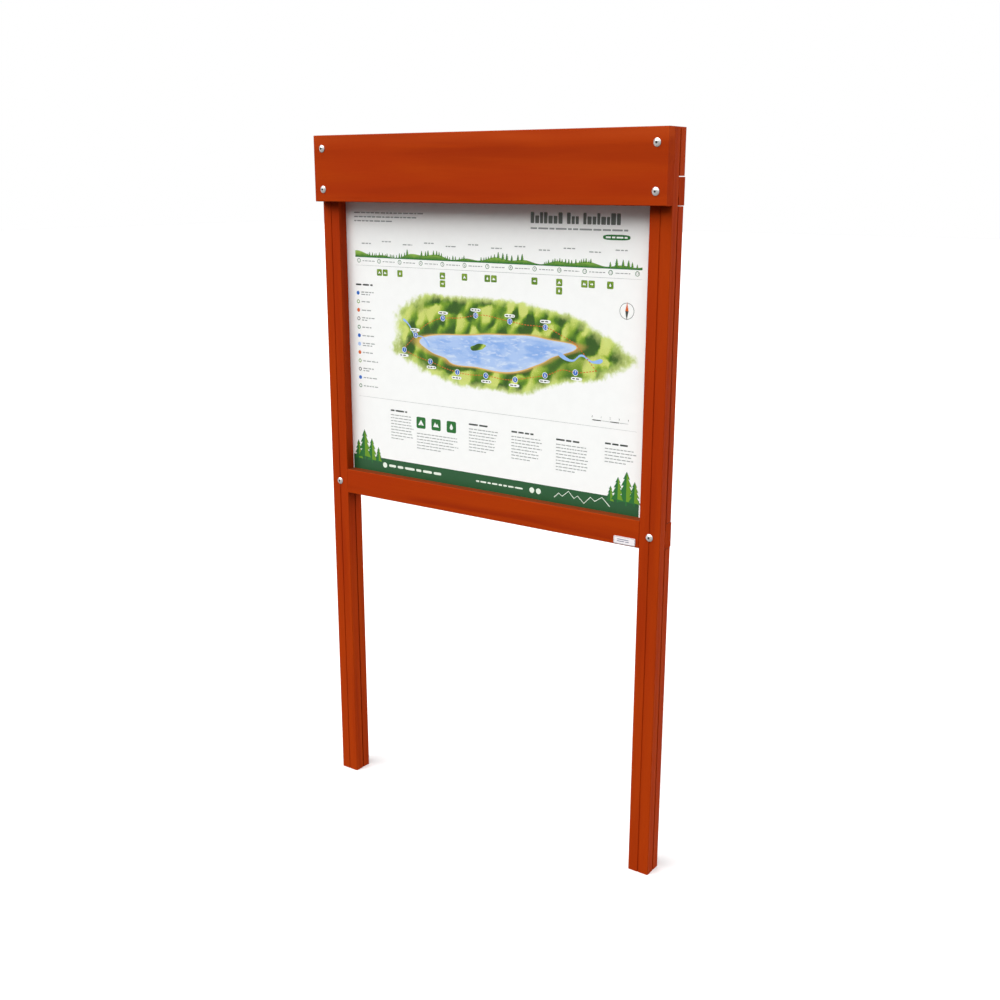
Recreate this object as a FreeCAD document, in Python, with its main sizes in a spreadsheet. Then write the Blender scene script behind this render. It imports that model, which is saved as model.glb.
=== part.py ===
import FreeCAD, Part
import math
import os
import re

import Sketcher

# Free-standing timber notice board: two sandwich posts, a header board, rails and a printed panel.
# Millimetres. +Z is up and -Y is the reading side. The origin is the bottom centre of the whole board.

DRIVING_SIZES = {
    "overall_width": 1670,
    "overall_height": 2945,
    "stud_width": 90,
    "stud_thickness": 45,
    "arris_radius": 3,
    "post_groove_width": 6,
    "post_groove_floor": 3,
    "post_groove_depth": 3,
    "header_height": 270,
    "header_thickness": 45,
    "rear_rail_height": 100,
    "rear_rail_thickness": 48,
    "rail_bottom": 1392,
    "front_rail_height": 110,
    "top_gap": 3,
    "rail_gap": 2,
    "butt_play": 0.3,
    "panel_thickness": 4,
    "panel_play": 0.3,
    "panel_rebate_width": 30,
    "panel_edge_gap": 3,
    "panel_corner_radius": 5,
    "bolt_diameter": 12,
    "bolt_hole_play": 0.5,
    "bolt_head_diameter": 30,
    "bolt_head_height": 7,
    "bolt_head_rim": 1.5,
    "socket_across_flats": 8,
    "socket_depth": 5,
    "header_bolt_inset": 54,
    "washer_diameter": 30,
    "washer_thickness": 2.5,
    "nut_across_flats": 18,
    "nut_height": 10,
    "thread_play": 0.05,
    "bolt_end_length": 5,
    "bolt_end_chamfer": 1.5,
    "screw_diameter": 6,
    "screw_head_diameter": 12,
    "screw_head_height": 4,
    "screw_tip_length": 8,
    "screw_tip_diameter": 1.6,
    "screw_length": 80,
    "screw_play": 0.05,
    "stud_screw_inset": 80,
    "rail_screw_inset": 120,
    "rail_screw_height": 35,
    "plate_width": 94,
    "plate_height": 30,
    "plate_thickness": 3,
    "plate_corner_radius": 4,
    "plate_side_inset": 15,
    "plate_bottom_inset": 5,
}

RAIL_SCREWS = 3
TOUCH = 0.001


class Size:
    """A length of the board: the formula that the model keeps, and its value in millimetres."""

    def __init__(self, formula, value):
        self.formula = formula
        self.value = value

    def __add__(self, other):
        other = as_size(other)
        return Size(f"({self.formula} + {other.formula})", self.value + other.value)

    def __sub__(self, other):
        other = as_size(other)
        return Size(f"({self.formula} - {other.formula})", self.value - other.value)

    def __mul__(self, factor):
        return Size(f"({self.formula} * {factor})", self.value * factor)

    def __truediv__(self, divisor):
        return Size(f"({self.formula} / {divisor})", self.value / divisor)

    def __neg__(self):
        return Size(f"(-1 * {self.formula})", -self.value)


def as_size(number):
    if isinstance(number, Size):
        return number
    return Size(str(number), float(number))


ZERO = as_size(0)

doc = FreeCAD.newDocument("NoticeBoard")
sheet = doc.addObject("Spreadsheet::Sheet", "Sizes")


def fill_sheet():
    """Write each driving size beside its name, and return them all by name."""
    sizes = {}
    for row, (name, number) in enumerate(DRIVING_SIZES.items(), start=1):
        sheet.set(f"A{row}", name)
        sheet.set(f"B{row}", str(number))
        sheet.setAlias(f"B{row}", name)
        sizes[name] = Size(f"Sizes.{name}", float(number))
    doc.recompute()
    return sizes


size = fill_sheet()

# Places that several pieces share, measured from the posts' outer left edge, front face and feet.
post_centre = size["stud_width"] / 2
inner_width = size["overall_width"] - size["stud_width"] * 2
right_post_left = size["overall_width"] - size["stud_width"]
rebate_depth = size["panel_thickness"] + size["panel_play"] * 2
upper_rail_bottom = size["overall_height"] - size["header_height"]
upper_rail_top = upper_rail_bottom + size["rear_rail_height"]
lower_rail_top = size["rail_bottom"] + size["rear_rail_height"]
top_stud_bottom = upper_rail_top + size["top_gap"]
middle_stud_bottom = lower_rail_top + size["rail_gap"]
middle_stud_top = upper_rail_bottom - size["rail_gap"]
lower_stud_top = size["rail_bottom"] - size["rail_gap"]
post_back = size["stud_thickness"] * 2
rear_rail_back = size["stud_thickness"] + size["rear_rail_thickness"]
bolt_hole_diameter = size["bolt_diameter"] + size["bolt_hole_play"] * 2
header_bolt_level = size["overall_height"] - size["header_bolt_inset"]
upper_rail_centre = upper_rail_bottom + size["rear_rail_height"] / 2
lower_rail_centre = size["rail_bottom"] + size["rear_rail_height"] / 2

# The whole board's depth runs from the header's bolt heads to the ends of the bolts behind the rear rails.
depth_ahead = size["header_thickness"] + size["bolt_head_height"]
bolt_reach = size["washer_thickness"] + size["nut_height"] + size["bolt_end_length"]
depth_behind = rear_rail_back + bolt_reach
post_front = (depth_ahead - depth_behind) / 2
left_edge = -(size["overall_width"] / 2)


def bind(target, path, length):
    target.setExpression(path, length.formula)


def new_body(name, across, back, up):
    """Start a piece whose corner lies at a place measured from the posts' outer left front edge."""
    body = doc.addObject("PartDesign::Body", name)
    body.Label = name
    bind(body, "Placement.Base.x", left_edge + across)
    bind(body, "Placement.Base.y", post_front + back)
    bind(body, "Placement.Base.z", as_size(up))
    return body


def origin_feature(body, role):
    for feature in body.Origin.OriginFeatures:
        if feature.Role == role:
            return feature
    raise ValueError(f"{body.Label} has no {role}")


def new_sketch(body, name, role, shift=None):
    """Start a sketch on one of the body's own planes, shifted by (right, up, outwards)."""
    sketch = body.newObject("Sketcher::SketchObject", f"{body.Label}_{name}")
    sketch.AttachmentSupport = (origin_feature(body, role), [""])
    sketch.MapMode = "FlatFace"
    if shift is not None:
        for axis, length in zip("xyz", shift):
            bind(sketch, f"AttachmentOffset.Base.{axis}", as_size(length))
    return sketch


def pin_point(sketch, line, end, across, up):
    """Fix one end of a line at a place measured from the sketch's origin."""
    for kind, axis, length in (("DistanceX", -2, across), ("DistanceY", -1, up)):
        if length.value == 0:
            sketch.addConstraint(Sketcher.Constraint("PointOnObject", line, end, axis))
            continue
        if length.value > 0:
            index = sketch.addConstraint(Sketcher.Constraint(kind, -1, 1, line, end, length.value))
        else:
            length = -length
            index = sketch.addConstraint(Sketcher.Constraint(kind, line, end, -1, 1, length.value))
        bind(sketch, f"Constraints[{index}]", length)


def dome_arc(first, last):
    """An arc from first to last about a centre on the sketch's own axis, and whether it runs backwards."""
    centre = (last.x ** 2 + last.y ** 2 - first.x ** 2 - first.y ** 2) / (2 * (last.x - first.x))
    middle = FreeCAD.Vector(centre, 0, 0)
    start_angle = math.atan2(first.y, first.x - centre)
    end_angle = math.atan2(last.y, last.x - centre)
    backwards = (end_angle - start_angle) % (2 * math.pi) > math.pi
    if backwards:
        start_angle, end_angle = end_angle, start_angle
    circle = Part.Circle(middle, FreeCAD.Vector(0, 0, 1), (first - middle).Length)
    return Part.ArcOfCircle(circle, start_angle, end_angle), backwards


def draw_outline(sketch, corners, domed=()):
    """Draw a closed outline through corners; the edges numbered in domed are arcs about the H axis."""
    corners = [(as_size(across), as_size(up)) for across, up in corners]
    spots = [FreeCAD.Vector(across.value, up.value, 0) for across, up in corners]
    ends = []
    for index, first in enumerate(spots):
        last = spots[(index + 1) % len(spots)]
        if index in domed:
            arc, backwards = dome_arc(first, last)
            edge = sketch.addGeometry(arc)
            sketch.addConstraint(Sketcher.Constraint("PointOnObject", edge, 3, -1))
            ends.append((edge, 2, 1) if backwards else (edge, 1, 2))
        else:
            edge = sketch.addGeometry(Part.LineSegment(first, last))
            ends.append((edge, 1, 2))
    for index, (edge, start, finish) in enumerate(ends):
        following, its_start, its_finish = ends[(index + 1) % len(ends)]
        sketch.addConstraint(Sketcher.Constraint("Coincident", edge, finish, following, its_start))
        pin_point(sketch, edge, start, *corners[index])


def draw_rectangle(sketch, width, height):
    draw_outline(sketch, [(ZERO, ZERO), (width, ZERO), (width, height), (ZERO, height)])


def draw_circle(sketch, across, up, diameter):
    centre = FreeCAD.Vector(across.value, up.value, 0)
    circle = sketch.addGeometry(Part.Circle(centre, FreeCAD.Vector(0, 0, 1), diameter.value / 2))
    pin_point(sketch, circle, 3, across, up)
    index = sketch.addConstraint(Sketcher.Constraint("Diameter", circle, diameter.value))
    bind(sketch, f"Constraints[{index}]", diameter)


def draw_hexagon(sketch, across_flats):
    """A regular hexagon about the sketch's origin, with a flat at its top and at its bottom."""
    corner_radius = across_flats.value / math.sqrt(3)
    guide_circle = Part.Circle(FreeCAD.Vector(0, 0, 0), FreeCAD.Vector(0, 0, 1), corner_radius)
    guide = sketch.addGeometry(guide_circle, True)
    sketch.addConstraint(Sketcher.Constraint("Coincident", guide, 3, -1, 1))
    spots = []
    for step in range(6):
        angle = math.radians(60 * step)
        spots.append(FreeCAD.Vector(corner_radius * math.cos(angle), corner_radius * math.sin(angle), 0))
    sides = [sketch.addGeometry(Part.LineSegment(spots[step], spots[(step + 1) % 6])) for step in range(6)]
    for step, side in enumerate(sides):
        sketch.addConstraint(Sketcher.Constraint("Coincident", side, 2, sides[(step + 1) % 6], 1))
        sketch.addConstraint(Sketcher.Constraint("PointOnObject", side, 1, guide))
    for side in sides[1:]:
        sketch.addConstraint(Sketcher.Constraint("Equal", sides[0], side))
    sketch.addConstraint(Sketcher.Constraint("Horizontal", sides[1]))
    index = sketch.addConstraint(Sketcher.Constraint("Distance", sides[4], 1, sides[1], across_flats.value))
    bind(sketch, f"Constraints[{index}]", across_flats)


def pad(body, sketch, length, backwards=False):
    feature = body.newObject("PartDesign::Pad", f"{sketch.Label}_pad")
    feature.Profile = sketch
    feature.Reversed = backwards
    bind(feature, "Length", length)
    doc.recompute()
    return feature


def revolve(body, sketch):
    feature = body.newObject("PartDesign::Revolution", f"{sketch.Label}_turned")
    feature.Profile = sketch
    feature.ReferenceAxis = (sketch, ["H_Axis"])
    feature.Angle = 360
    doc.recompute()
    return feature


def check_cut(body, feature, volume_before):
    """A cut that points away from its piece takes nothing, so the piece has to have lost some volume."""
    doc.recompute()
    if body.Shape.Volume > volume_before - TOUCH:
        raise RuntimeError(f"{feature.Label} cuts nothing from {body.Label}")


def cut(body, sketch, depth=None):
    """Cut a sketch into its piece, right through or to a depth."""
    volume_before = body.Shape.Volume
    feature = body.newObject("PartDesign::Pocket", f"{sketch.Label}_cut")
    feature.Profile = sketch
    if depth is None:
        feature.Type = "ThroughAll"
    else:
        bind(feature, "Length", depth)
    check_cut(body, feature, volume_before)


def turn_away(body, sketch):
    """Cut the ring that a sketch sweeps about its H axis."""
    volume_before = body.Shape.Volume
    feature = body.newObject("PartDesign::Groove", f"{sketch.Label}_cut")
    feature.Profile = sketch
    feature.ReferenceAxis = (sketch, ["H_Axis"])
    feature.Angle = 360
    check_cut(body, feature, volume_before)
    return feature


def repeat(body, feature, role, length, count):
    """Repeat a feature so that its copies are evenly spaced along a stretch of the piece."""
    row = body.newObject("PartDesign::LinearPattern", f"{feature.Label}_row")
    row.Originals = [feature]
    row.Direction = (origin_feature(body, role), [""])
    row.Occurrences = count
    bind(row, "Length", length)
    body.Tip = row
    doc.recompute()


def long_edges(shape, direction):
    """The outer corner edges of a plank: its straight edges along a direction, on two outer faces each."""
    box = shape.BoundBox
    lows = (box.XMin, box.YMin, box.ZMin)
    highs = (box.XMax, box.YMax, box.ZMax)
    names = []
    for number, edge in enumerate(shape.Edges, start=1):
        ends = [vertex.Point for vertex in edge.Vertexes]
        if len(ends) != 2 or not isinstance(edge.Curve, Part.Line):
            continue
        run = ends[1] - ends[0]
        if abs(run.normalize().dot(direction)) < 1 - TOUCH:
            continue
        outer_faces = 0
        for axis in range(3):
            if abs(direction[axis]) < TOUCH:
                at_low = abs(ends[0][axis] - lows[axis]) < TOUCH
                at_high = abs(ends[0][axis] - highs[axis]) < TOUCH
                outer_faces += at_low or at_high
        if outer_faces == 2:
            names.append(f"Edge{number}")
    return names


def round_long_edges(body, base, direction, radius):
    fillet = body.newObject("PartDesign::Fillet", f"{body.Label}_rounding")
    fillet.Base = (base, long_edges(base.Shape, direction))
    bind(fillet, "Radius", radius)
    doc.recompute()


def drill(body, name, spots):
    """Bore clearance holes for through bolts, front to back, at places on the piece's own front face."""
    sketch = new_sketch(body, name, "XZ_Plane")
    for across, up in spots:
        draw_circle(sketch, across, up, bolt_hole_diameter)
    cut(body, sketch)


def draw_screw(sketch, play):
    """Half a countersunk wood screw, driven from its head at the origin towards -H."""
    head = size["screw_head_diameter"] / 2 + play
    shank = size["screw_diameter"] / 2 + play
    point = size["screw_tip_diameter"] / 2 + play
    end = size["screw_length"] + play
    draw_outline(sketch, [
        (ZERO, ZERO),
        (ZERO, head),
        (-size["screw_head_height"], shank),
        (-(end - size["screw_tip_length"]), shank),
        (-end, point),
        (-end, ZERO),
    ])


def screw_holes(body, name, head, role, length, count):
    """Countersunk screw holes in a row; head is the first screw head's place as (back, up, across)."""
    sketch = new_sketch(body, name, "YZ_Plane", head)
    draw_screw(sketch, size["screw_play"])
    repeat(body, turn_away(body, sketch), role, length, count)


def screws(body, name, head, role, length, count):
    """The wood screws that fill a row of screw holes."""
    sketch = new_sketch(body, name, "YZ_Plane", head)
    draw_screw(sketch, ZERO)
    repeat(body, revolve(body, sketch), role, length, count)


# Each stretch of a post's rear half: its foot and its height. Screws hold the two long ones.
stud_stretches = {
    "lower": (ZERO, lower_stud_top),
    "middle": (middle_stud_bottom, middle_stud_top - middle_stud_bottom),
    "top": (top_stud_bottom, size["overall_height"] - top_stud_bottom),
}
SCREWED_STRETCHES = ("lower", "middle")


def screw_pair(height):
    """How far apart the two screws of a stud are, and how many there are."""
    return height - size["stud_screw_inset"] * 2, 2


def make_front_stud(name, across):
    """The full-height front half of a post, with a relief groove down the middle of its face."""
    body = new_body(name, across, ZERO, ZERO)
    mouth = size["post_groove_width"] / 2
    floor = size["post_groove_floor"] / 2
    profile = new_sketch(body, "section", "XY_Plane")
    draw_outline(profile, [
        (ZERO, ZERO),
        (post_centre - mouth, ZERO),
        (post_centre - floor, size["post_groove_depth"]),
        (post_centre + floor, size["post_groove_depth"]),
        (post_centre + mouth, ZERO),
        (size["stud_width"], ZERO),
        (size["stud_width"], size["stud_thickness"]),
        (ZERO, size["stud_thickness"]),
    ])
    plank = pad(body, profile, size["overall_height"])
    round_long_edges(body, plank, FreeCAD.Vector(0, 0, 1), size["arris_radius"])
    levels = (header_bolt_level, upper_rail_centre, lower_rail_centre)
    drill(body, "bolt_holes", [(post_centre, level) for level in levels])
    for stretch in SCREWED_STRETCHES:
        foot, height = stud_stretches[stretch]
        head = (post_back, foot + size["stud_screw_inset"], post_centre)
        screw_holes(body, f"{stretch}_screw_holes", head, "Z_Axis", *screw_pair(height))


def make_rear_stud(name, across, stretch):
    """One length of a post's rear half, rebated down both front corners to take the panel's edge."""
    foot, height = stud_stretches[stretch]
    body = new_body(name, across, size["stud_thickness"], foot)
    rebate = size["panel_rebate_width"]
    profile = new_sketch(body, "section", "XY_Plane")
    draw_outline(profile, [
        (rebate, ZERO),
        (size["stud_width"] - rebate, ZERO),
        (size["stud_width"] - rebate, rebate_depth),
        (size["stud_width"], rebate_depth),
        (size["stud_width"], size["stud_thickness"]),
        (ZERO, size["stud_thickness"]),
        (ZERO, rebate_depth),
        (rebate, rebate_depth),
    ])
    plank = pad(body, profile, height)
    round_long_edges(body, plank, FreeCAD.Vector(0, 0, 1), size["arris_radius"])
    if stretch in SCREWED_STRETCHES:
        head = (size["stud_thickness"], size["stud_screw_inset"], post_centre)
        screw_holes(body, "screw_holes", head, "Z_Axis", *screw_pair(height))
    else:
        drill(body, "bolt_hole", [(post_centre, header_bolt_level - foot)])


def make_header_board():
    """The deep board across the front of both posts, flush with their tops and outer edges."""
    body = new_body("header_board", ZERO, -size["header_thickness"], upper_rail_bottom)
    profile = new_sketch(body, "section", "YZ_Plane")
    draw_rectangle(profile, size["header_thickness"], size["header_height"])
    plank = pad(body, profile, size["overall_width"])
    round_long_edges(body, plank, FreeCAD.Vector(1, 0, 0), size["arris_radius"])
    upper = header_bolt_level - upper_rail_bottom
    lower = upper_rail_centre - upper_rail_bottom
    right = right_post_left + post_centre
    drill(body, "bolt_holes", [(post_centre, upper), (post_centre, lower), (right, upper), (right, lower)])


def make_rear_rail(name, up, rebate_at_top):
    """A rail through the rear half of both posts, rebated along one front corner for the panel."""
    body = new_body(name, ZERO, size["stud_thickness"], up)
    profile = new_sketch(body, "section", "YZ_Plane")
    thickness = size["rear_rail_thickness"]
    height = size["rear_rail_height"]
    rebate = size["panel_rebate_width"]
    if rebate_at_top:
        corners = [
            (ZERO, ZERO),
            (thickness, ZERO),
            (thickness, height),
            (rebate_depth, height),
            (rebate_depth, height - rebate),
            (ZERO, height - rebate),
        ]
    else:
        corners = [
            (rebate_depth, ZERO),
            (thickness, ZERO),
            (thickness, height),
            (ZERO, height),
            (ZERO, rebate),
            (rebate_depth, rebate),
        ]
    draw_outline(profile, corners)
    plank = pad(body, profile, size["overall_width"])
    round_long_edges(body, plank, FreeCAD.Vector(1, 0, 0), size["arris_radius"])
    right = right_post_left + post_centre
    drill(body, "bolt_holes", [(post_centre, height / 2), (right, height / 2)])
    return body


def rail_screw_row(first_across):
    """How far apart the outermost screws of the front rail are."""
    return size["overall_width"] - first_across * 2


def make_lower_rails():
    """The lower rear rail, and the front rail that it carries between the posts."""
    first_across = size["stud_width"] + size["rail_screw_inset"]
    row = rail_screw_row(first_across)
    rear = make_rear_rail("rear_rail_lower", size["rail_bottom"], rebate_at_top=True)
    head = (size["rear_rail_thickness"], size["rail_screw_height"], first_across)
    screw_holes(rear, "screw_holes", head, "X_Axis", row, RAIL_SCREWS)

    start = size["stud_width"] + size["butt_play"]
    front = new_body("front_rail", start, ZERO, size["rail_bottom"])
    profile = new_sketch(front, "section", "YZ_Plane")
    draw_rectangle(profile, size["stud_thickness"], size["front_rail_height"])
    plank = pad(front, profile, inner_width - size["butt_play"] * 2)
    round_long_edges(front, plank, FreeCAD.Vector(1, 0, 0), size["arris_radius"])
    head = (rear_rail_back, size["rail_screw_height"], first_across - start)
    screw_holes(front, "screw_holes", head, "X_Axis", row, RAIL_SCREWS)

    fixings = new_body("rail_screws", ZERO, ZERO, size["rail_bottom"])
    head = (rear_rail_back, size["rail_screw_height"], first_across)
    screws(fixings, "row", head, "X_Axis", row, RAIL_SCREWS)


def make_post_screws(name, across):
    """All the wood screws that hold one post's rear studs to its front stud."""
    body = new_body(name, across, ZERO, ZERO)
    for stretch in SCREWED_STRETCHES:
        foot, height = stud_stretches[stretch]
        head = (post_back, foot + size["stud_screw_inset"], post_centre)
        screws(body, stretch, head, "Z_Axis", *screw_pair(height))


def make_panel():
    """The thin printed panel, held all round in the rebates of the rear studs and rails."""
    reach = size["panel_rebate_width"] - size["panel_edge_gap"]
    bottom = lower_rail_top - size["panel_rebate_width"] + size["panel_play"]
    top = upper_rail_bottom + reach
    back = size["stud_thickness"] + size["panel_play"]
    body = new_body("notice_panel", size["stud_width"] - reach, back, bottom)
    face = new_sketch(body, "face", "XZ_Plane")
    draw_rectangle(face, inner_width + reach * 2, top - bottom)
    sheet_pad = pad(body, face, size["panel_thickness"], backwards=True)
    round_long_edges(body, sheet_pad, FreeCAD.Vector(0, 1, 0), size["panel_corner_radius"])


def make_maker_plate():
    """A small blank plate on the front rail, beside the right post."""
    across = right_post_left - size["plate_side_inset"] - size["plate_width"]
    up = size["rail_bottom"] + size["plate_bottom_inset"]
    body = new_body("maker_plate", across, -size["plate_thickness"], up)
    face = new_sketch(body, "face", "XZ_Plane")
    draw_rectangle(face, size["plate_width"], size["plate_height"])
    plate = pad(body, face, size["plate_thickness"], backwards=True)
    round_long_edges(body, plate, FreeCAD.Vector(0, 1, 0), size["plate_corner_radius"])


def make_bolt(name, across, up, front, grip):
    """A through bolt with a low domed head and a hexagon socket, its axis along +Y from under the head."""
    body = new_body(name, across, front, up)
    end = grip + bolt_reach
    shank = size["bolt_diameter"] / 2
    head = size["bolt_head_diameter"] / 2
    profile = new_sketch(body, "profile", "YZ_Plane")
    draw_outline(profile, [
        (-size["bolt_head_height"], ZERO),
        (end, ZERO),
        (end, shank - size["bolt_end_chamfer"]),
        (end - size["bolt_end_chamfer"], shank),
        (ZERO, shank),
        (ZERO, head),
        (-size["bolt_head_rim"], head),
    ], domed=(6,))
    revolve(body, profile)
    socket = new_sketch(body, "socket", "XZ_Plane", (ZERO, ZERO, size["bolt_head_height"]))
    draw_hexagon(socket, size["socket_across_flats"])
    cut(body, socket, size["socket_depth"])


def make_washer(name, across, up, back):
    body = new_body(name, across, back, up)
    face = new_sketch(body, "face", "XZ_Plane")
    draw_circle(face, ZERO, ZERO, size["washer_diameter"])
    draw_circle(face, ZERO, ZERO, bolt_hole_diameter)
    pad(body, face, size["washer_thickness"], backwards=True)


def make_nut(name, across, up, back):
    """A hexagon nut with a plain bore for the bolt's threaded end."""
    body = new_body(name, across, back, up)
    face = new_sketch(body, "face", "XZ_Plane")
    draw_hexagon(face, size["nut_across_flats"])
    draw_circle(face, ZERO, ZERO, size["bolt_diameter"] + size["thread_play"] * 2)
    pad(body, face, size["nut_height"], backwards=True)


def make_bolt_set(place, side, across, up, front, back):
    """A bolt, its washer and its nut, clamping the timber between front and back."""
    make_bolt(f"bolt_{place}_{side}", across, up, front, back - front)
    make_washer(f"washer_{place}_{side}", across, up, back)
    make_nut(f"nut_{place}_{side}", across, up, back + size["washer_thickness"])


def make_post(side, across):
    make_front_stud(f"post_front_{side}", across)
    for stretch in stud_stretches:
        make_rear_stud(f"post_rear_{stretch}_{side}", across, stretch)
    make_post_screws(f"post_screws_{side}", across)
    centre = across + post_centre
    header_face = -size["header_thickness"]
    make_bolt_set("header_top", side, centre, header_bolt_level, header_face, post_back)
    make_bolt_set("header_low", side, centre, upper_rail_centre, header_face, rear_rail_back)
    make_bolt_set("rail", side, centre, lower_rail_centre, ZERO, rear_rail_back)


def check_model():
    """Refuse a failed feature, an empty piece or a broken solid before anything is written."""
    for item in doc.Objects:
        if re.search("Invalid|Error", " ".join(item.State)):
            raise RuntimeError(f"{item.Label} failed: {item.State}")
    pieces = [item for item in doc.Objects if item.TypeId == "PartDesign::Body"]
    for piece in pieces:
        if piece.Shape.isNull() or not piece.Shape.isValid():
            raise RuntimeError(f"{piece.Label} has no sound shape")
    return pieces


def export(pieces):
    os.makedirs("parts", exist_ok=True)
    for piece in pieces:
        piece.Shape.exportStep(os.path.join("parts", f"{piece.Label}.step"))
        box = piece.Shape.BoundBox
        print(f"{piece.Label}: {len(piece.Shape.Solids)} solids, {piece.Shape.Volume / 1e3:.1f} cm3, "
              f"{box.XLength:.1f} x {box.YLength:.1f} x {box.ZLength:.1f} mm")


make_post("left", ZERO)
make_post("right", right_post_left)
make_header_board()
make_rear_rail("rear_rail_upper", upper_rail_bottom, rebate_at_top=False)
make_lower_rails()
make_panel()
make_maker_plate()
doc.recompute()
export(check_model())
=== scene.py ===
"""Finishes, fastenings and printed face of a free-standing timber notice board.

The board's timbers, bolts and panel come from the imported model. This file
gives them their finishes, adds the small metalwork and prints the panel.
Sizes are in metres: X runs along the board, -Y faces the reader, Z is up.
Places and lengths of print are in millimetres across and up the board.
"""

import math
import random
from contextlib import contextmanager
from functools import cache

import bmesh
import bpy
from bpy.props import FloatProperty, FloatVectorProperty, IntProperty, PointerProperty
from mathutils import Matrix, Vector


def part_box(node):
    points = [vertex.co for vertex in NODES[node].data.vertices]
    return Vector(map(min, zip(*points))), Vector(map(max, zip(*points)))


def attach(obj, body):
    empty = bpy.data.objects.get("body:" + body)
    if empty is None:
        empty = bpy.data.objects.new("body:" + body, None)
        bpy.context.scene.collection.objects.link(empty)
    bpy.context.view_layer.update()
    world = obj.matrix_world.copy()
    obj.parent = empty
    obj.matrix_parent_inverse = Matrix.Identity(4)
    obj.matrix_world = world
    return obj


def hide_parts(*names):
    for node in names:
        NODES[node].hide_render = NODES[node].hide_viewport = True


bl_info = {
    "name": "Timber notice board",
    "version": (1, 0, 0),
    "blender": (4, 5, 0),
    "location": "3D Viewport > Sidebar > Notice board",
    "description": "Stains the timbers, dresses the fastenings and prints the panel of a notice board",
    "category": "Object",
}

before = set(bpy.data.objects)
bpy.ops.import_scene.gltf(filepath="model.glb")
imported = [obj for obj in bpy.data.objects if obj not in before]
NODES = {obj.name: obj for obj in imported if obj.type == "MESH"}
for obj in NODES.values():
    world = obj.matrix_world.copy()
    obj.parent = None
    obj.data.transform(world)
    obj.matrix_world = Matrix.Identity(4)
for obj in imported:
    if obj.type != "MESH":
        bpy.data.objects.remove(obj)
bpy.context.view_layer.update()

MM = 0.001
# Corners nearer than this are one, and a face looks along Z when this much of its normal does
WELD = 0.01 * MM
FLAT = 0.9
# Turns for pieces that are made flat on their backs, to face the reader or to face the board's back
TO_PANEL = Matrix.Rotation(math.pi / 2, 4, "X")
TO_BACK = Matrix.Rotation(-math.pi / 2, 4, "X")

TIMBERS = ("post_front", "post_rear", "header_board", "rear_rail", "front_rail")
# How far the pith lies behind a plank's middle, and how far to one side of it
UPRIGHT_PITH = ((0.03, 0.06), (-0.03, 0.03))
LYING_PITH = ((0.04, 0.07), (-0.02, 0.03))
WOOD_GLOSS = 0.03

BOLT_RADIUS = 6 * MM
SOCKET_FLOOR = 6 * MM

# The panel's face, and the edges of what shows of it in millimetres
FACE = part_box("notice_panel")[0].y
SIGHT_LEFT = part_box("post_front_left")[1].x / MM
SIGHT_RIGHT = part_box("post_front_right")[0].x / MM
SIGHT_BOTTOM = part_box("front_rail")[1].z / MM
# How deep print is set in its ground and how thick a layer of it is, in millimetres
SINK, LAYER = 0.01, 0.04
PRINT_GLOSS = 0.2
# The font's size for numbers of unit height
FONT_SIZE = 1.35


def colour(red, green, blue):
    """Turns a colour in 0-255 screen values into the linear one that a shader takes."""
    def linear(value):
        value /= 255
        return value / 12.92 if value <= 0.04045 else ((value + 0.055) / 1.055) ** 2.4
    return (linear(red), linear(green), linear(blue))


def colour_setting(name, description, red, green, blue):
    return FloatVectorProperty(
        name=name, description=description, subtype="COLOR", size=3,
        min=0.0, max=1.0, default=colour(red, green, blue))


def length_setting(name, description, millimetres):
    return FloatProperty(
        name=name, description=description, subtype="DISTANCE", unit="LENGTH",
        min=0.0, default=millimetres * MM, precision=5)


def strength_setting(name, description, strength):
    return FloatProperty(name=name, description=description, default=strength, min=0.0)


class TimberSettings(bpy.types.PropertyGroup):
    stain: colour_setting("Stain", "Colour of the stained wood in the light", 168, 53, 10)
    late_wood: colour_setting("Late wood", "Darker bands of the wood under the stain", 138, 35, 8)
    early_wood: colour_setting("Early wood", "Warmer, paler zones of the wood", 173, 61, 9)
    pore: colour_setting("Pores", "Colour gathered in the open pores", 96, 26, 8)
    # Painted highlight: a paler colour along the header's top edge, where light falls from above
    bleached: colour_setting("Top edge highlight", "Painted highlight along the top edge of the header", 180, 66, 20)
    # Painted shade: a darker brown for the faces that look up
    weathered: colour_setting("Shaded tops", "Brown painted as shade on the faces that look up", 92, 50, 24)
    band_width: length_setting("Band width", "Width of a growth band across the widest board", 70)
    wander: length_setting("Wander", "How far the grain strays along a plank", 30)
    roughness: FloatProperty(
        name="Roughness", description="Roughness of the satin stain", subtype="FACTOR",
        min=0.0, max=1.0, default=0.56)


class MetalSettings(bpy.types.PropertyGroup):
    stainless: colour_setting("Stainless", "Colour of the bolts, washers and nuts", 188, 186, 185)
    zinc: colour_setting("Zinc", "Colour of the plated screws", 190, 193, 196)
    thread_pitch: length_setting("Thread pitch", "Advance of the bolts' thread in one turn", 1.75)
    thread_depth: length_setting("Thread depth", "Height of the thread's ridge on the bolts' ends", 0.5)
    nut_chamfer: length_setting("Nut chamfer", "Height of the nuts' turned corners", 1.0)
    star_width: length_setting("Star width", "Width of the drive recess in the screws", 5.6)
    star_depth: length_setting("Star depth", "Depth of the drive recess in the screws", 1.8)


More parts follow.
